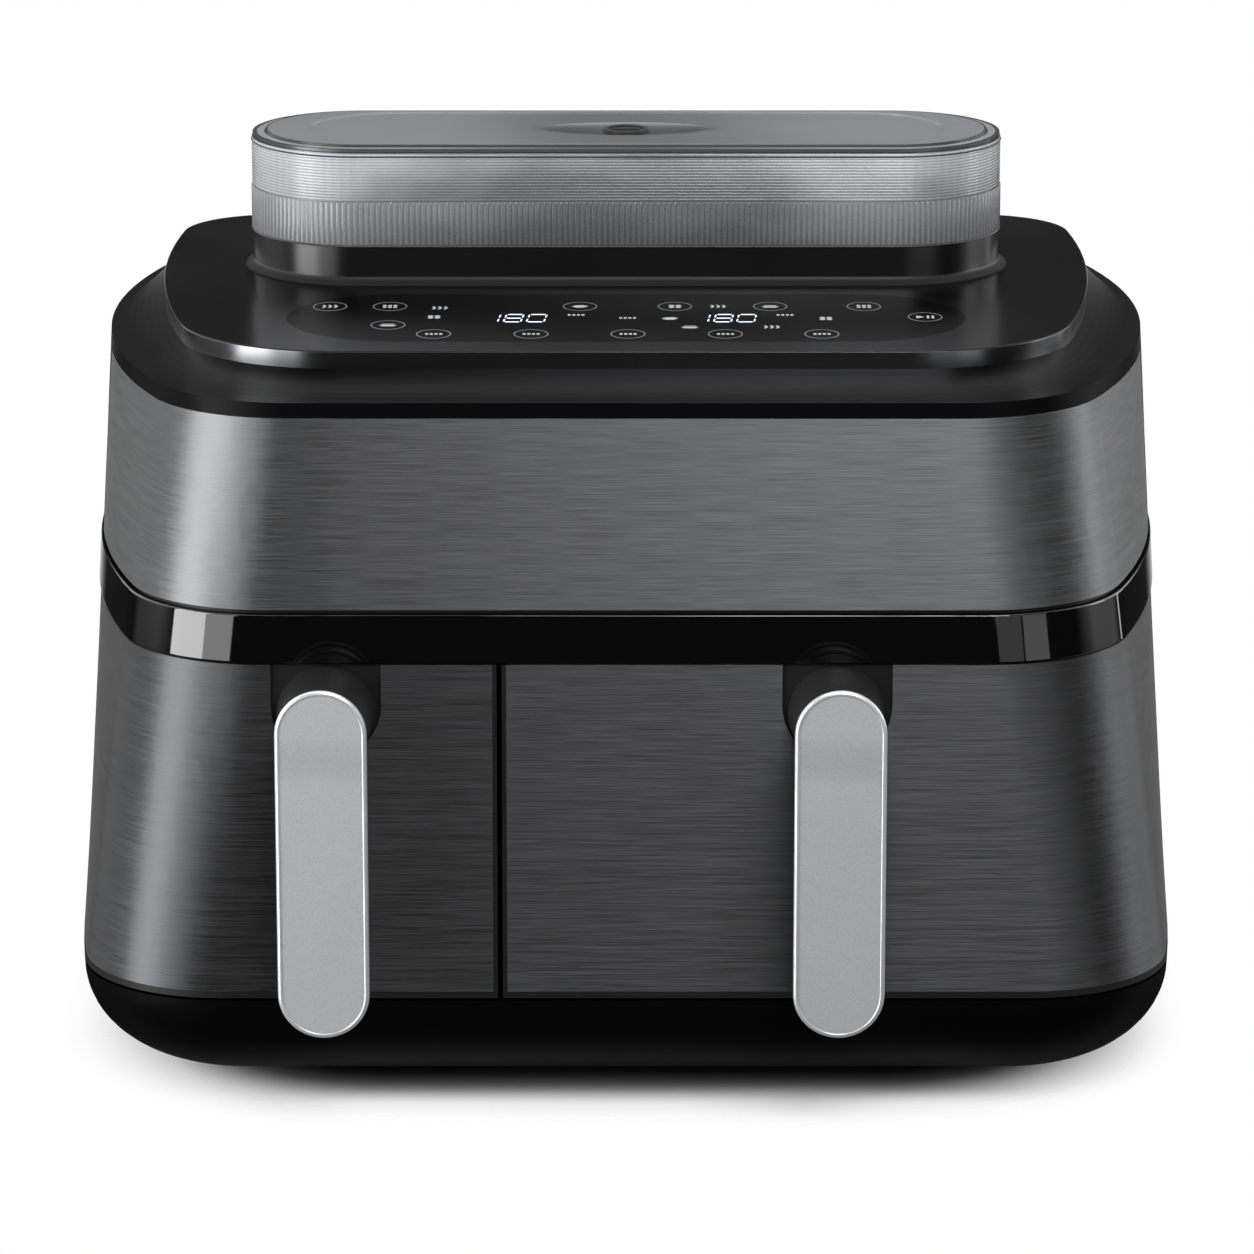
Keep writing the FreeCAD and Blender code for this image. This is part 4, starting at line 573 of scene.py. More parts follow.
@dataclass(frozen=True)
class CircuitBoard(Finish):
    """Green lacquer over copper tracks."""

    lacquer: Colour = (0.006, 0.05, 0.02, 1.0)
    copper: Colour = (0.02, 0.12, 0.045, 1.0)
    pitch: float = 1900.0

    def shade(self, graph: Graph) -> None:
        """Run straight tracks under the lacquer."""
        place = graph.place()
        sides = [graph.axis(place, name) for name in "XYZ"]
        tracks = [(side * self.pitch + graph.noise(place, 60.0, 1.0) * 3.0).sine().ease(0.55, 0.7)
                  for side in sides]
        track = tracks[0].larger(tracks[1]).larger(tracks[2])
        graph.principled(
            Base_Color=graph.mix(track, self.lacquer, self.copper),
            Roughness=0.3 + track * 0.12,
            Normal=graph.bump(track, 0.2, 0.0001))


@dataclass(frozen=True)
class PrintedMark(Finish):
    """Lit digits, and printed marks that glow as painted light, on the control glass."""

    colour: Colour = (0.5, 0.52, 0.55, 1.0)
    strength: float = 0.5

    def shade(self, graph: Graph) -> None:
        """Glow evenly, with faint unevenness in the ink; on the printed marks the glow is painted light."""
        patchy = graph.noise(graph.place(), 900.0, 2.0)
        dim = tuple(level * 0.8 for level in self.colour[:3]) + (1.0,)
        tint = graph.mix(patchy, dim, self.colour)
        graph.principled(Base_Color=tint, Roughness=0.5, Emission_Color=tint, Emission_Strength=self.strength)


class Dress(Enum):
    """The finishes of this object, by what they cover."""

    PANEL = BrushedSteel("brushed_panel", 0.11, 0.21)
    FRONT = BrushedSteel("brushed_front", 0.06, 0.125)
    BASE = MouldedPlastic("moulded_base", 0.0012, 0.45, 0.035)
    BODY = MouldedPlastic("moulded_body", 0.009, 0.42, 0.25)
    COVER = MouldedPlastic("satin_cover", 0.0014, 0.36, 0.05, 0.1)
    COLLAR = DraftedPlastic("satin_collar", 0.003, 0.24, 0.4, 0.1)
    DECK = RimmedPlastic("satin_deck")
    HANDLE_BLACK = MouldedPlastic("handle_black", 0.012, 0.4, 0.25, 0.3)
    DRAWER_BLACK = MouldedPlastic("drawer_black", 0.008, 0.45, 0.12)
    TANK_SEAL = MouldedPlastic("tank_seal", 0.02, 0.5, 0.3, 0.1)
    SOFT = MouldedPlastic("soft_rubber", 0.016, 0.75, 0.2, 0.5, 0.0011)
    FITTING = MouldedPlastic("grey_fitting", 0.05, 0.45, 0.4, 0.2)
    PLUG = MouldedPlastic("filler_plug", 0.022, 0.5, 0.3, 0.2)
    BAND = GlossPlastic("gloss_band")
    GLASS = GlossPlastic("control_glass", 0.0012, 0.2, 0.035)
    SCREEN = GlossPlastic("display_block", 0.01, 0.2, 0.4)
    HANDLE_FACE = GrainedAluminium("grained_handle")
    HANDLE_RIM = GrainedAluminium("satin_rim", 0.6, 0.65, 0.32, 0.0006, 0.04, 0.0)
    TANK = FrostedPlastic("frosted_tank", 0.1, 0.2)
    TANK_HIGH = RibbedPlastic("ribbed_tank_high", 0.1, 0.40, rise=0.0002, contrast=0.12, height=(0.343, 0.366))
    TANK_LOW = RibbedPlastic("ribbed_tank_low", 0.08, 0.19, rise=0.0005, contrast=0.2, height=(0.30, 0.36))
    LID = FrostedLid("frosted_lid", 0.15, 0.28, 0.92, 0.3)
    SHEET = RolledMetal("rolled_sheet")
    CAST = RolledMetal("cast_metal", 0.38, 0.52, 0.45, (160.0, 160.0, 160.0))
    TURNED = RolledMetal("turned_steel", 0.4, 0.6, 0.25, (500.0, 500.0, 500.0))
    MOTOR = RolledMetal("motor_can", 0.1, 0.16, 0.4, (60.0, 60.0, 60.0))
    COATING = NonStick("non_stick")
    BOARD = CircuitBoard("circuit_board")
    DIGIT = PrintedMark("lit_digit", (0.66, 0.7, 0.86, 1.0), 1.0)
    # Painted light: the printed key rings and marks glow faintly.
    KEY_RING = PrintedMark("key_ring", (0.12, 0.125, 0.13, 1.0), 0.6)
    KEY_MARK = PrintedMark("key_mark", (0.3, 0.31, 0.32, 1.0), 0.6)


class Mesh:
    """Vertices and faces that become one piece of the object."""

    def __init__(self) -> None:
        """Start with nothing."""
        self.points: list[Place] = []
        self.faces: list[tuple[int, ...]] = []

    def add(self, points: Iterable[Sequence[float]]) -> list[int]:
        """Add points and return their numbers."""
        first = len(self.points)
        self.points.extend(tuple(point) for point in points)
        return list(range(first, len(self.points)))

    def join(self, loops: Sequence[Sequence[int]]) -> None:
        """Join closed loops of points, each to the next."""
        for here, after in zip(loops, loops[1:]):
            for number in range(len(here)):
                following = (number + 1) % len(here)
                self.faces.append((here[number], here[following], after[following], after[number]))

    def tube(self, rings: Sequence[Sequence[Sequence[float]]]) -> None:
        """Join closed rings of points in turn, the last to the first."""
        loops = [self.add(ring) for ring in rings]
        self.join(loops + loops[:1])

    def drum(self, rings: Sequence[Sequence[Sequence[float]]]) -> None:
        """Join closed rings of points in turn and close both ends."""
        loops = [self.add(ring) for ring in rings]
        self.join(loops)
        self.faces.extend((tuple(reversed(loops[0])), tuple(loops[-1])))

    def slab(self, outline: Sequence[Point], low: float, high: float) -> None:
        """Add a flat slab with an outline seen from above, between two heights."""
        self.drum([[(x, y, height) for x, y in outline] for height in (low, high)])

    def piece(self, name: str, dress: Dress, body: str, slot: str, smooth: float = 0.0) -> bpy.types.Object:
        """Make the object, dress it and let it ride.

        Args:
            name: The piece's name.
            dress: Its finish.
            body: The body that carries it.
            slot: The record's material slot, which is not used.
            smooth: The angle in degrees up to which edges are shaded smooth, or 0 for none.

        Returns:
            The new object.
        """
        data = bpy.data.meshes.new(name)
        data.from_pydata(self.points, [], self.faces)
        shape = bmesh.new()
        shape.from_mesh(data)
        bmesh.ops.recalc_face_normals(shape, faces=shape.faces)
        shape.to_mesh(data)
        shape.free()
        data.materials.append(dress.value.material())
        made = bpy.data.objects.new(name, data)
        bpy.context.scene.collection.objects.link(made)
        if smooth:
            data.shade_smooth()
            data.set_sharp_from_angle(angle=math.radians(smooth))
        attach(made, body)
        LOG.info("%s: %d faces on %s", name, len(self.faces), body)
        return made


def stadium(half_length: float, radius: float, count: int) -> list[tuple[Vector, Vector]]:
    """Return points round a slot shape at even steps, each with its outward direction.

    Args:
        half_length: Half the length over the round ends.
        radius: The radius of the ends.
        count: How many points there are.

    Returns:
        Pairs of a point and a unit direction.
    """
    straight = half_length - radius
    bend = math.pi * radius
    whole = 4 * straight + 2 * bend
    pairs = []
    for number in range(count):
        run = whole * number / count
        turned = run >= 2 * straight + bend
        run -= (2 * straight + bend) * turned
        if run < 2 * straight:
            point, away = Vector((run - straight, -radius)), Vector((0.0, -1.0))
        else:
            angle = (run - 2 * straight) / radius - math.pi / 2
            away = Vector((math.cos(angle), math.sin(angle)))
            point = Vector((straight, 0.0)) + away * radius
        sign = -1 if turned else 1
        pairs.append((point * sign, away * sign))
    return pairs


def cover(nodes: Mapping[str, bpy.types.Object], dress: Dress, *names: str) -> None:
    """Give nodes a finish.

    Args:
        nodes: The frame's nodes.
        dress: The finish.
        names: The nodes to cover.
    """
    for name in names:
        data = nodes[name].data
        data.materials.clear()
        data.materials.append(dress.value.material())
        LOG.info("%s: %s", name, dress.value.name)


@dataclass
class Shell:
    """The body: base, housing, front panel, band, cover and rear fittings."""

    nodes: Mapping[str, bpy.types.Object]

    def dress(self) -> None:
        """Give each node of the body its finish."""
        cover(self.nodes, Dress.BASE, "base_shell")
        cover(self.nodes, Dress.BODY, "main_housing", "rear_panel", "wall_spacers", "rear_vent_grille",
              "cord_gland", "drawer_switches")
        cover(self.nodes, Dress.COVER, "top_cover")
        cover(self.nodes, Dress.COLLAR, "tank_collar")
        cover(self.nodes, Dress.DECK, "control_deck")
        cover(self.nodes, Dress.PANEL, "upper_front_panel")
        cover(self.nodes, Dress.BAND, "trim_band")
        cover(self.nodes, Dress.GLASS, "control_glass")
        cover(self.nodes, Dress.SCREEN, "display_modules")
        cover(self.nodes, Dress.SOFT, "foot_pads")
        cover(self.nodes, Dress.BOARD, "control_board", "power_board")


@dataclass
class Works:
    """The cooking chambers, hot air and steam inside the body."""

    nodes: Mapping[str, bpy.types.Object]

    def dress(self) -> None:
        """Give each inner node its finish."""
        cover(self.nodes, Dress.SHEET, "front_frame")
        cover(self.nodes, Dress.CAST, "steam_boiler")
        cover(self.nodes, Dress.SOFT, "water_hose", "steam_hoses")
        cover(self.nodes, Dress.BODY, "water_pump")
        cover(self.nodes, Dress.TURNED, "temperature_sensors", "steam_nozzles")
        for side in ("left", "right"):
            cover(self.nodes, Dress.SHEET, f"{side}_chamber", f"{side}_heat_shroud")
            cover(self.nodes, Dress.TURNED, f"{side}_heater", f"{side}_fan_shaft")
            cover(self.nodes, Dress.CAST, f"{side}_fan_wheel", f"{side}_cooling_fan")
            cover(self.nodes, Dress.MOTOR, f"{side}_fan_motor")


@dataclass
class Drawer:
    """A drawer: its front, handle, pan and plate."""

    nodes: Mapping[str, bpy.types.Object]
    side: str
    face_inset: float = 0.0008
    arm_radius: float = 0.0200
    arm_neck: float = 0.0168
    arm_gap: float = 0.0006
    arm_stations: int = 12
    arm_sides: int = 64
    outline_points: int = 160
    rim: Sequence[Point] = ((0.0, 1.5), (0.3, 0.55), (0.9, 0.1), (1.4, 0.0), (1.8, 0.1), (2.0, 0.4))
    rim_depth: float = 0.0019
    inlay_inset: float = 0.0019
    inlay_depth: float = 0.00035
    backing_inset: float = 0.0003

    def dress(self) -> None:
        """Give each node of the drawer its finish."""
        cover(self.nodes, Dress.DRAWER_BLACK, f"{self.side}_drawer_front")
        cover(self.nodes, Dress.FRONT, f"{self.side}_front_skin")
        cover(self.nodes, Dress.HANDLE_BLACK, f"{self.side}_handle_grip", f"{self.side}_handle_arm")
        cover(self.nodes, Dress.HANDLE_FACE, f"{self.side}_handle_face")
        cover(self.nodes, Dress.TURNED, f"{self.side}_handle_screws")
        cover(self.nodes, Dress.COATING, f"{self.side}_pan", f"{self.side}_crisper_plate")
        cover(self.nodes, Dress.SOFT, f"{self.side}_plate_bumpers")

    def outline(self, inset: float, depth: float) -> list[Place]:
        """Return the handle's upright outline, drawn in by an inset, at a depth behind its front."""
        low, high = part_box(f"{self.side}_handle_face")
        middle = (low + high) / 2
        pairs = stadium((high[2] - low[2]) / 2, (high[0] - low[0]) / 2 - self.face_inset, self.outline_points)
        points = (point - away * inset for point, away in pairs)
        return [(middle[0] - point.y, low[1] + depth, middle[2] + point.x) for point in points]

    def face(self) -> None:
        """Set a sanded inlay in a satin rim, over a black backing."""
        low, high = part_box(f"{self.side}_handle_face")
        back = high[1] - low[1]
        inner = self.rim[-1][0] * MM
        profile = [(0.0, self.rim_depth)] + [(inset * MM, depth * MM) for inset, depth in self.rim]
        rim, inlay, backing = Mesh(), Mesh(), Mesh()
        rim.tube([self.outline(*place) for place in profile + [(inner, self.rim_depth)]])
        inlay.drum([self.outline(self.inlay_inset, depth) for depth in (self.rim_depth, self.inlay_depth)])
        backing.drum([self.outline(self.backing_inset, depth) for depth in (back, self.rim_depth)])
        body = f"{self.side}_drawer"
        made = rim.piece(f"{self.side}_handle_rim", Dress.HANDLE_RIM, body, "silver_face", 50.0)
        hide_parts(f"{self.side}_handle_face")
        inlay.piece(f"{self.side}_handle_inlay", Dress.HANDLE_FACE, body, "silver_face", 30.0)
        backing.piece(f"{self.side}_handle_backing", Dress.HANDLE_BLACK, body, "black_plastic", 30.0)

    def arm(self) -> None:
        """Flare the arm from the grip to the drawer's front, under the drawer's top edge."""
        low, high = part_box(f"{self.side}_handle_arm")
        across = (low[0] + high[0]) / 2
        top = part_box(f"{self.side}_drawer_front")[1][2] - self.arm_gap
        turns = [2 * math.pi * step / self.arm_sides for step in range(self.arm_sides)]
        rings = []
        for station in range(self.arm_stations + 1):
            share = station / self.arm_stations
            radius = self.arm_neck + (self.arm_radius - self.arm_neck) * share ** 2
            depth = low[1] + (high[1] - low[1]) * share
            rings.append([(across + radius * math.cos(turn), depth, top - radius + radius * math.sin(turn))
                          for turn in turns])
        mesh = Mesh()
        mesh.drum(rings)
        made = mesh.piece(f"{self.side}_flared_arm", Dress.HANDLE_BLACK, f"{self.side}_drawer", "black_plastic", 40.0)
        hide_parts(f"{self.side}_handle_arm")

    def build(self) -> None:
        """Make the handle's face and arm."""
        self.face()
        self.arm()


def rectangle(x: float, y: float, width: float, depth: float) -> list[Point]:
    """Return a rectangle about a point."""
    return [(x - width / 2, y - depth / 2), (x + width / 2, y - depth / 2),
            (x + width / 2, y + depth / 2), (x - width / 2, y + depth / 2)]


def oval(x: float, y: float, width: float, depth: float, steps: int = 16) -> list[Point]:
    """Return an oval about a point, from half its width and depth."""
    turns = [2 * math.pi * step / steps for step in range(steps)]
    return [(x + width * math.cos(turn), y + depth * math.sin(turn)) for turn in turns]


def chevron(x: float) -> list[Point]:
    """Return a bent bar that points to the right."""
    return [(x - 0.9, -2.6), (x + 0.1, -2.6), (x + 0.9, 0.0), (x + 0.1, 2.6), (x - 0.9, 2.6), (x - 0.1, 0.0)]


class Glyph(Enum):
    """The generic marks of the keys: outlines about their middle, in millimetres."""

    WAVES = [chevron(x) for x in (-2.4, 0.0, 2.4)]
    GRID = [rectangle(x, y, 1.5, 2.2) for x in (-2.2, 0.0, 2.2) for y in (-1.6, 1.6)]
    LEAF = [[(-3.4, -0.4), (-1.2, -2.4), (1.6, -2.2), (3.4, 0.6), (1.0, 2.4), (-1.8, 2.0)]]
    DISH = [[(-3.6, 0.0), (-2.4, -2.4), (2.4, -2.4), (3.6, 0.0)], rectangle(0.0, 1.6, 5.0, 1.0)]
    FAN = [oval(x, y, 1.2, 1.4) for x, y in oval(0.0, 0.0, 2.0, 2.2, 8)[1::2]]
    BARS = [rectangle(x, 0.0, 1.2, 2.6) for x in (-2.8, -0.9, 1.0, 2.9)]
    PLAY = [[(-3.6, -2.6), (-0.4, 0.0), (-3.6, 2.6)]] + [rectangle(x, 0.0, 1.0, 5.0) for x in (1.2, 3.2)]


@dataclass(frozen=True)
class Key:
    """A touch key: its place on the glass in millimetres and its mark."""

    x: float
    y: float
    glyph: Glyph
    ringed: bool = True


UPPER_ROW = -28.5
LOWER_ROW = -82.4
LIT_BARS = {"0": "abcdef", "1": "bc", "8": "abcdefg"}


@dataclass
class ControlPanel:
    """The printed keys and lit digits on the control glass."""

    ring_width: float = 7.1
    ring_depth: float = 8.6
    ring_line: float = 0.42
    ring_steps: int = 40
    ink: float = 0.05
    ink_sink: float = 0.01
    digit_width: float = 7.1
    digit_depth: float = 16.0
    digit_pitch: float = 9.5
    digit_line: float = 0.62
    digit_bar: float = 1.5
    digit_gap: Span = (0.5, 1.6)
    digit_lean: float = 0.08
    display_y: float = -51.8
    display_x: Sequence[float] = (-46.2, 40.1)
    reading: str = "180"
    keys: Sequence[Key] = (
        Key(-122.8, UPPER_ROW, Glyph.WAVES),
        Key(-97.9, UPPER_ROW, Glyph.GRID),
        Key(-97.4, -65.1, Glyph.DISH),
        Key(-78.2, LOWER_ROW, Glyph.BARS),
        Key(-38.6, LOWER_ROW, Glyph.BARS),
        Key(-19.1, UPPER_ROW, Glyph.LEAF),
        Key(0.8, LOWER_ROW, Glyph.BARS),
        Key(20.3, UPPER_ROW, Glyph.FAN),
        Key(40.4, LOWER_ROW, Glyph.BARS),
        Key(59.8, UPPER_ROW, Glyph.DISH),
        Key(79.6, LOWER_ROW, Glyph.BARS),
        Key(98.7, UPPER_ROW, Glyph.GRID),
        Key(123.1, -49.4, Glyph.PLAY),
        Key(-79.0, -49.4, Glyph.FAN, False),
        Key(-77.1, -31.6, Glyph.WAVES, False),
        Key(-20.6, -45.5, Glyph.BARS, False),
        Key(0.6, -51.4, Glyph.BARS, False),
        Key(18.1, -52.4, Glyph.LEAF, False),
        Key(26.1, -68.9, Glyph.DISH, False),
        Key(38.2, UPPER_ROW, Glyph.WAVES, False),
        Key(59.6, -68.9, Glyph.WAVES, False),
        Key(65.5, -45.5, Glyph.BARS, False),
        Key(82.2, -52.4, Glyph.FAN, False),
    )

    def __post_init__(self) -> None:
        """Find the heights between which the ink lies."""
        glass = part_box("control_glass")[1][2]
        self.heights = (glass - self.ink_sink * MM, glass + self.ink * MM)

    def build(self) -> None:
        """Print the rings, the marks inside them and the digits."""
        rings, marks, digits = Mesh(), Mesh(), Mesh()
        for key in self.keys:
            if key.ringed:
                self.ring(rings, key)
            for outline in key.glyph.value:
                self.print(marks, [(key.x + x, key.y + y) for x, y in outline])
        for x in self.display_x:
            self.number(digits, x)
        rings.piece("key_rings", Dress.KEY_RING, "housing", "black_glass")
        marks.piece("key_marks", Dress.KEY_MARK, "housing", "black_glass")
        digits.piece("display_digits", Dress.DIGIT, "housing", "display")

    def print(self, mesh: Mesh, outline: Sequence[Point]) -> None:
        """Print a filled outline given in millimetres."""
        mesh.slab([(x * MM, y * MM) for x, y in outline], *self.heights)

    def ring(self, mesh: Mesh, key: Key) -> None:
        """Print an oval line about a key."""
        loops = []
        for inset, height in ((0.0, 0), (0.0, 1), (self.ring_line, 1), (self.ring_line, 0)):
            loop = oval(key.x, key.y, self.ring_width - inset, self.ring_depth - inset, self.ring_steps)
            loops.append([(x * MM, y * MM, self.heights[height]) for x, y in loop])
        mesh.tube(loops)

    def number(self, mesh: Mesh, middle: float) -> None:
        """Print one display's reading as slanted seven-segment digits."""
        half, deep = self.digit_width / 2, self.digit_depth / 2
        thin, thick = self.digit_line / 2, self.digit_bar / 2
        gap, rise = self.digit_gap
        level = {"a": deep, "g": 0.0, "d": -deep}
        upright = {"f": (-half, 0.0), "b": (half, 0.0), "e": (-half, -deep), "c": (half, -deep)}
        for place, digit in enumerate(self.reading):
            x = middle + (place - (len(self.reading) - 1) / 2) * self.digit_pitch
            for name in LIT_BARS[digit]:
                if name in level:
                    y, end = level[name] * (1 - thick / deep), half - gap
                    bar = [(-end, y), (thin - end, y - thick), (end - thin, y - thick), (end, y),
                           (end - thin, y + thick), (thin - end, y + thick)]
                else:
                    side, foot = upright[name]
                    low, high = foot + rise, foot + deep - rise
                    bar = [(side, low), (side + thin, low + thin), (side + thin, high - thin), (side, high),
                           (side - thin, high - thin), (side - thin, low + thin)]
                self.print(mesh, [(x + px + py * self.digit_lean, self.display_y + py) for px, py in bar])


@dataclass
class WaterTank:
    """The lift-off tank, with its ribbed wall, lid and plug."""

    nodes: Mapping[str, bpy.types.Object]
    low_rim: float = 0.0100
    between: float = 0.0285
    high_rim: float = 0.0004
    upright_ribs: int = 312
    level_ribs: int = 16
    rib_height: float = 0.0005
    level_height: float = 0.0002
    sink: float = 0.0004
    rib_lead: float = 0.0004
    rib_foot: float = 0.00004
    rib_profile: Sequence[float] = (0.0, 0.7, 1.0, 0.7)
    level_profile: Sequence[Point] = ((0.0, 0.1), (0.25, 0.8), (0.5, 1.0), (0.75, 0.8))
    bead_profile: Sequence[Point] = ((0.5, 0.1), (1.0, 0.5), (0.5, 0.9))
    bead_height: float = 0.0008
    bead_out: float = 0.0005
    around: int = 180

    def __post_init__(self) -> None:
        """Find the tank's wall."""
        self.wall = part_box("water_tank")

    def dress(self) -> None:
        """Give each node of the tank its finish."""
        cover(self.nodes, Dress.TANK, "water_tank")
        cover(self.nodes, Dress.LID, "tank_lid")
        cover(self.nodes, Dress.FITTING, "tank_valve")
        cover(self.nodes, Dress.PLUG, "filler_plug")

    def ring(self, count: int, height: float, *offsets: float) -> list[Place]:
        """Return points round the wall at a height.

        Args:
            count: How many points there are.
            height: The ring's height.
            offsets: How far the points stand off the wall, in turn.

        Returns:
            The points.
        """
        low, high = self.wall
        middle = (low + high) / 2
        points = []
        for number, (point, out) in enumerate(stadium((high[0] - low[0]) / 2, (high[1] - low[1]) / 2, count)):
            place = point + out * offsets[number % len(offsets)]
            points.append((middle[0] + place.x, middle[1] + place.y, height))
        return points

    def upright(self, low: float, high: float) -> None:
        """Rib the wall upright between two heights."""
        count = self.upright_ribs * len(self.rib_profile)
        ribs = [share * self.rib_height for share in self.rib_profile]
        sleeve = Mesh()
        sleeve.tube([
            self.ring(count, low, -self.sink),
            self.ring(count, low, self.rib_foot),
            self.ring(count, low + self.rib_lead, *ribs),
            self.ring(count, high - self.rib_lead, *ribs),
            self.ring(count, high, self.rib_foot),
            self.ring(count, high, -self.sink),
        ])
        sleeve.piece("tank_upright_ribs", Dress.TANK_LOW, "tank", "smoky_plastic", 40.0)

    def level(self, low: float, high: float) -> None:
        """Rib the wall level between two heights."""
        pitch = (high - low) / self.level_ribs
        rings = [self.ring(self.around, low, -self.sink)]
        for rib in range(self.level_ribs):
            for share, swell in self.level_profile:
                rings.append(self.ring(self.around, low + (rib + share) * pitch, swell * self.level_height))
        rings.append(self.ring(self.around, high, self.level_profile[0][1] * self.level_height))
        rings.append(self.ring(self.around, high, -self.sink))
        sleeve = Mesh()
        sleeve.tube(rings)
        sleeve.piece("tank_level_ribs", Dress.TANK_HIGH, "tank", "smoky_plastic", 40.0)

    def bead(self, name: str, dress: Dress, low: float) -> None:
        """Run a thin bead round the wall from a height."""
        swell = [(out * self.bead_out, share) for out, share in self.bead_profile]
        shape = [(-self.sink, 0.0)] + swell + [(-self.sink, 1.0)]
        mesh = Mesh()
        mesh.tube([self.ring(self.around, low + share * self.bead_height, out) for out, share in shape])
        mesh.piece(name, dress, "tank", "smoky_plastic", 60.0)

    def build(self) -> None:
        """Rib the wall upright below and level above, with a bead at its top and foot."""
        low, high = self.wall[0][2] + self.low_rim, self.wall[0][2] + self.between
        top = self.wall[1][2] - self.high_rim
        self.upright(low, high)
        self.level(high + self.sink, top)
        self.bead("tank_top_bead", Dress.TANK_SEAL, top - 2 * self.bead_height)
        self.bead("tank_foot_bead", Dress.LID, low - self.bead_height)


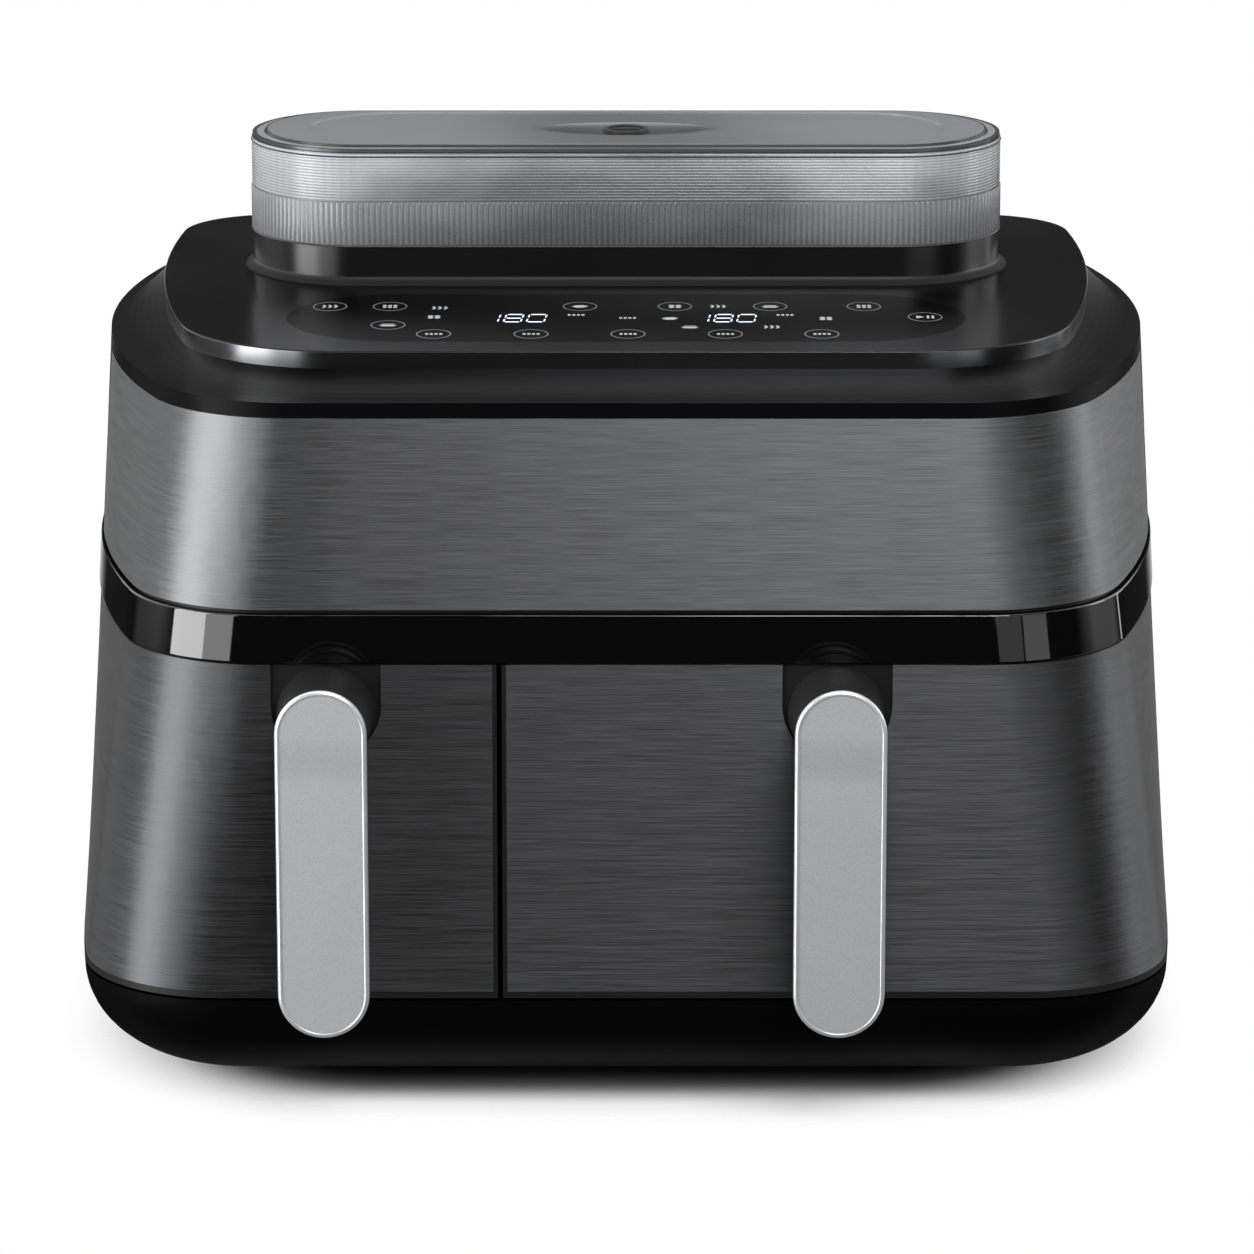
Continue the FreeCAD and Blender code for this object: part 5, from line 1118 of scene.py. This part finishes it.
@dataclass
class Studio:
    """The camera, floor, lamps and surrounding light."""

    eye: Sequence[float] = (0.0, -2.49215, 0.8309)
    aim: Sequence[float] = (0.0, 0.01925, 0.158)
    focal_pixels: float = 6061.0
    shift: float = 0.0008
    floor_tone: float = 0.9
    floor_reach: float = 4.0
    ambient: float = 0.45
    dark_room: float = 0.02
    side_glow: float = 1.6
    low_glow: float = 0.35
    left_share: float = 0.4
    backdrop: Span = (0.92, 0.99)
    backdrop_top: Span = (0.0, 0.12)
    horizon: Span = (-0.15, 0.05)
    side_spans: Sequence[Span] = ((-0.25, 0.05), (0.8, 0.92))
    low_spans: Sequence[Span] = ((-0.05, 0.1), (0.5, 0.65))
    # The footprint about which the floor fades out, its rounding, and the painted shadow's tone and fade
    shadow_half: Sequence[float] = (0.17, 0.125, 1.0)
    shadow_fade: Span = (0.012, 0.075)
    shadow_round: float = 0.07
    shadow_tone: float = 0.03
    shadow_span: Span = (-0.005, 0.04)

    def camera(self) -> None:
        """Stand the camera at the photograph's angle."""
        data = bpy.data.cameras.new("camera")
        data.sensor_fit = "HORIZONTAL"
        data.lens = data.sensor_width * self.focal_pixels / PHOTO_PIXELS
        data.shift_x = self.shift
        data.clip_end = 50.0
        made = bpy.data.objects.new("camera", data)
        made.location = self.eye
        made.rotation_euler = (Vector(self.aim) - Vector(self.eye)).to_track_quat("-Z", "Y").to_euler()
        bpy.context.scene.collection.objects.link(made)
        bpy.context.scene.camera = made

    def lamp(self, name: str, place: Sequence[float], size: Sequence[float], power: float,
             aim: Sequence[float] = (0.0, 0.0, 0.18)) -> None:
        """Hang one soft lamp.

        Args:
            name: The lamp's name.
            place: Where it hangs.
            size: Its width and height.
            power: Its power in watts.
            aim: The point that it faces.
        """
        data = bpy.data.lights.new(name, "AREA")
        data.shape = "RECTANGLE"
        data.size, data.size_y = size
        data.energy = power
        made = bpy.data.objects.new(name, data)
        made.location = place
        made.rotation_euler = (Vector(aim) - Vector(place)).to_track_quat("-Z", "Y").to_euler()
        made.visible_camera = False
        bpy.context.scene.collection.objects.link(made)

    def lamps(self) -> None:
        """Hang lamps overhead and in front, a graded key on the left, and dim ones on the right."""
        self.lamp("overhead", (0.0, 0.0, 1.9), (1.6, 1.0), 10.0)
        self.lamp("front", (0.2, -0.75, 0.85), (0.5, 0.4), 7.0, (0.0, -0.15, 0.22))
        self.lamp("key", (-1.183, -0.624, 0.3), (0.57, 1.3), 18.0, (-0.19, -0.15, 0.3))
        self.lamp("key_edge", (-0.875, -1.011, 0.3), (0.45, 1.3), 5.2, (-0.19, -0.15, 0.3))
        self.lamp("fill", (1.03, -1.15, 0.0), (0.45, 0.4), 0.55, (0.19, -0.15, 0.2))
        self.lamp("fill_edge", (0.62, -1.38, 0.0), (0.45, 0.4), 0.3, (0.19, -0.15, 0.2))
        self.lamp("fill_high", (0.936, -1.215, 0.55), (0.8, 0.5), 1.0, (0.19, -0.15, 0.3))
        self.lamp("strip", (1.163, 0.757, 0.4), (0.06, 1.3), 0.5, (0.0, 0.0, 0.3))
        self.lamp("side", (1.25, 0.13, 0.55), (0.35, 0.5), 2.2, (0.19, -0.05, 0.3))

    def floor(self) -> None:
        """Lay a pale floor with a painted shadow under the object, that fades into the background."""
        data = bpy.data.meshes.new("floor")
        reach = self.floor_reach
        data.from_pydata([(-reach, -reach, 0.0), (reach, -reach, 0.0), (reach, reach, 0.0), (-reach, reach, 0.0)],
                         [], [(0, 1, 2, 3)])
        material = bpy.data.materials.new("pale_floor")
        graph = Graph(material)
        place = graph.place()
        inner = [half - self.shadow_round for half in self.shadow_half]
        span = graph.outside(place, inner) - self.shadow_round
        tones = [(level, level, level, 1.0) for level in (self.floor_tone * 0.99, self.floor_tone)]
        tone = graph.mix(graph.noise(place, 3.0), *tones)
        # Painted shadow: the floor darkens to a dark tone under the object's footprint.
        tone = graph.mix(span.ease(*self.shadow_span), grey(self.shadow_tone), tone)
        pale = graph.node("ShaderNodeBsdfDiffuse", inputs={"Color": tone})
        clear = graph.node("ShaderNodeBsdfTransparent")
        graph.finish(graph.node("ShaderNodeMixShader", inputs={0: span.ease(*self.shadow_fade), 1: pale, 2: clear}))
        data.materials.append(material)
        made = bpy.data.objects.new("floor", data)
        made.location.y = self.aim[1]
        bpy.context.scene.collection.objects.link(made)

    def world(self) -> None:
        """Light the room evenly, and let metal and glass mirror dark walls with pale sides and a white backdrop."""
        world = bpy.data.worlds.new("studio_world")
        bpy.context.scene.world = world
        graph = Graph(world)
        camera, glossy, through = (graph.node("ShaderNodeLightPath", output=f"Is {name} Ray")
                                   for name in ("Camera", "Glossy", "Transmission"))
        way = graph.node("ShaderNodeTexCoord", output="Generated")
        back, up = graph.axis(way, "Y"), graph.axis(way, "Z")
        right = graph.axis(way, "X").ease(-0.2, 0.2)
        behind = back.ease(*self.backdrop) * (1.0 - up.ease(*self.backdrop_top))
        above = up.ease(*self.horizon)
        beside = back.between(*self.side_spans) * above
        below = back.between(*self.low_spans) * (1.0 - above) * (self.left_share + (1.0 - self.left_share) * right)
        mirrored = self.dark_room + behind * (1.0 - self.dark_room)
        mirrored = mirrored + beside * self.side_glow + below * self.low_glow
        strength = self.ambient + glossy.larger(through) * (mirrored - self.ambient)
        strength = strength + camera * (1.0 - strength)
        light = graph.node("ShaderNodeBackground", inputs={"Color": WHITE, "Strength": strength})
        graph.finish(light, "ShaderNodeOutputWorld")

    def build(self) -> None:
        """Set up the whole studio."""
        bpy.context.scene.view_settings.view_transform = "Standard"
        self.camera()
        self.lamps()
        self.floor()
        self.world()


def main() -> None:
    """Load the frame, dress it and set up the studio."""
    logging.basicConfig(level=logging.INFO, format="%(name)s %(message)s")
    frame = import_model()
    nodes = frame["nodes"]
    Shell(nodes).dress()
    Works(nodes).dress()
    for side in ("left", "right"):
        drawer = Drawer(nodes, side)
        drawer.dress()
        drawer.build()
    ControlPanel().build()
    tank = WaterTank(nodes)
    tank.dress()
    tank.build()
    Studio().build()


if __name__ == "__main__":
    main()
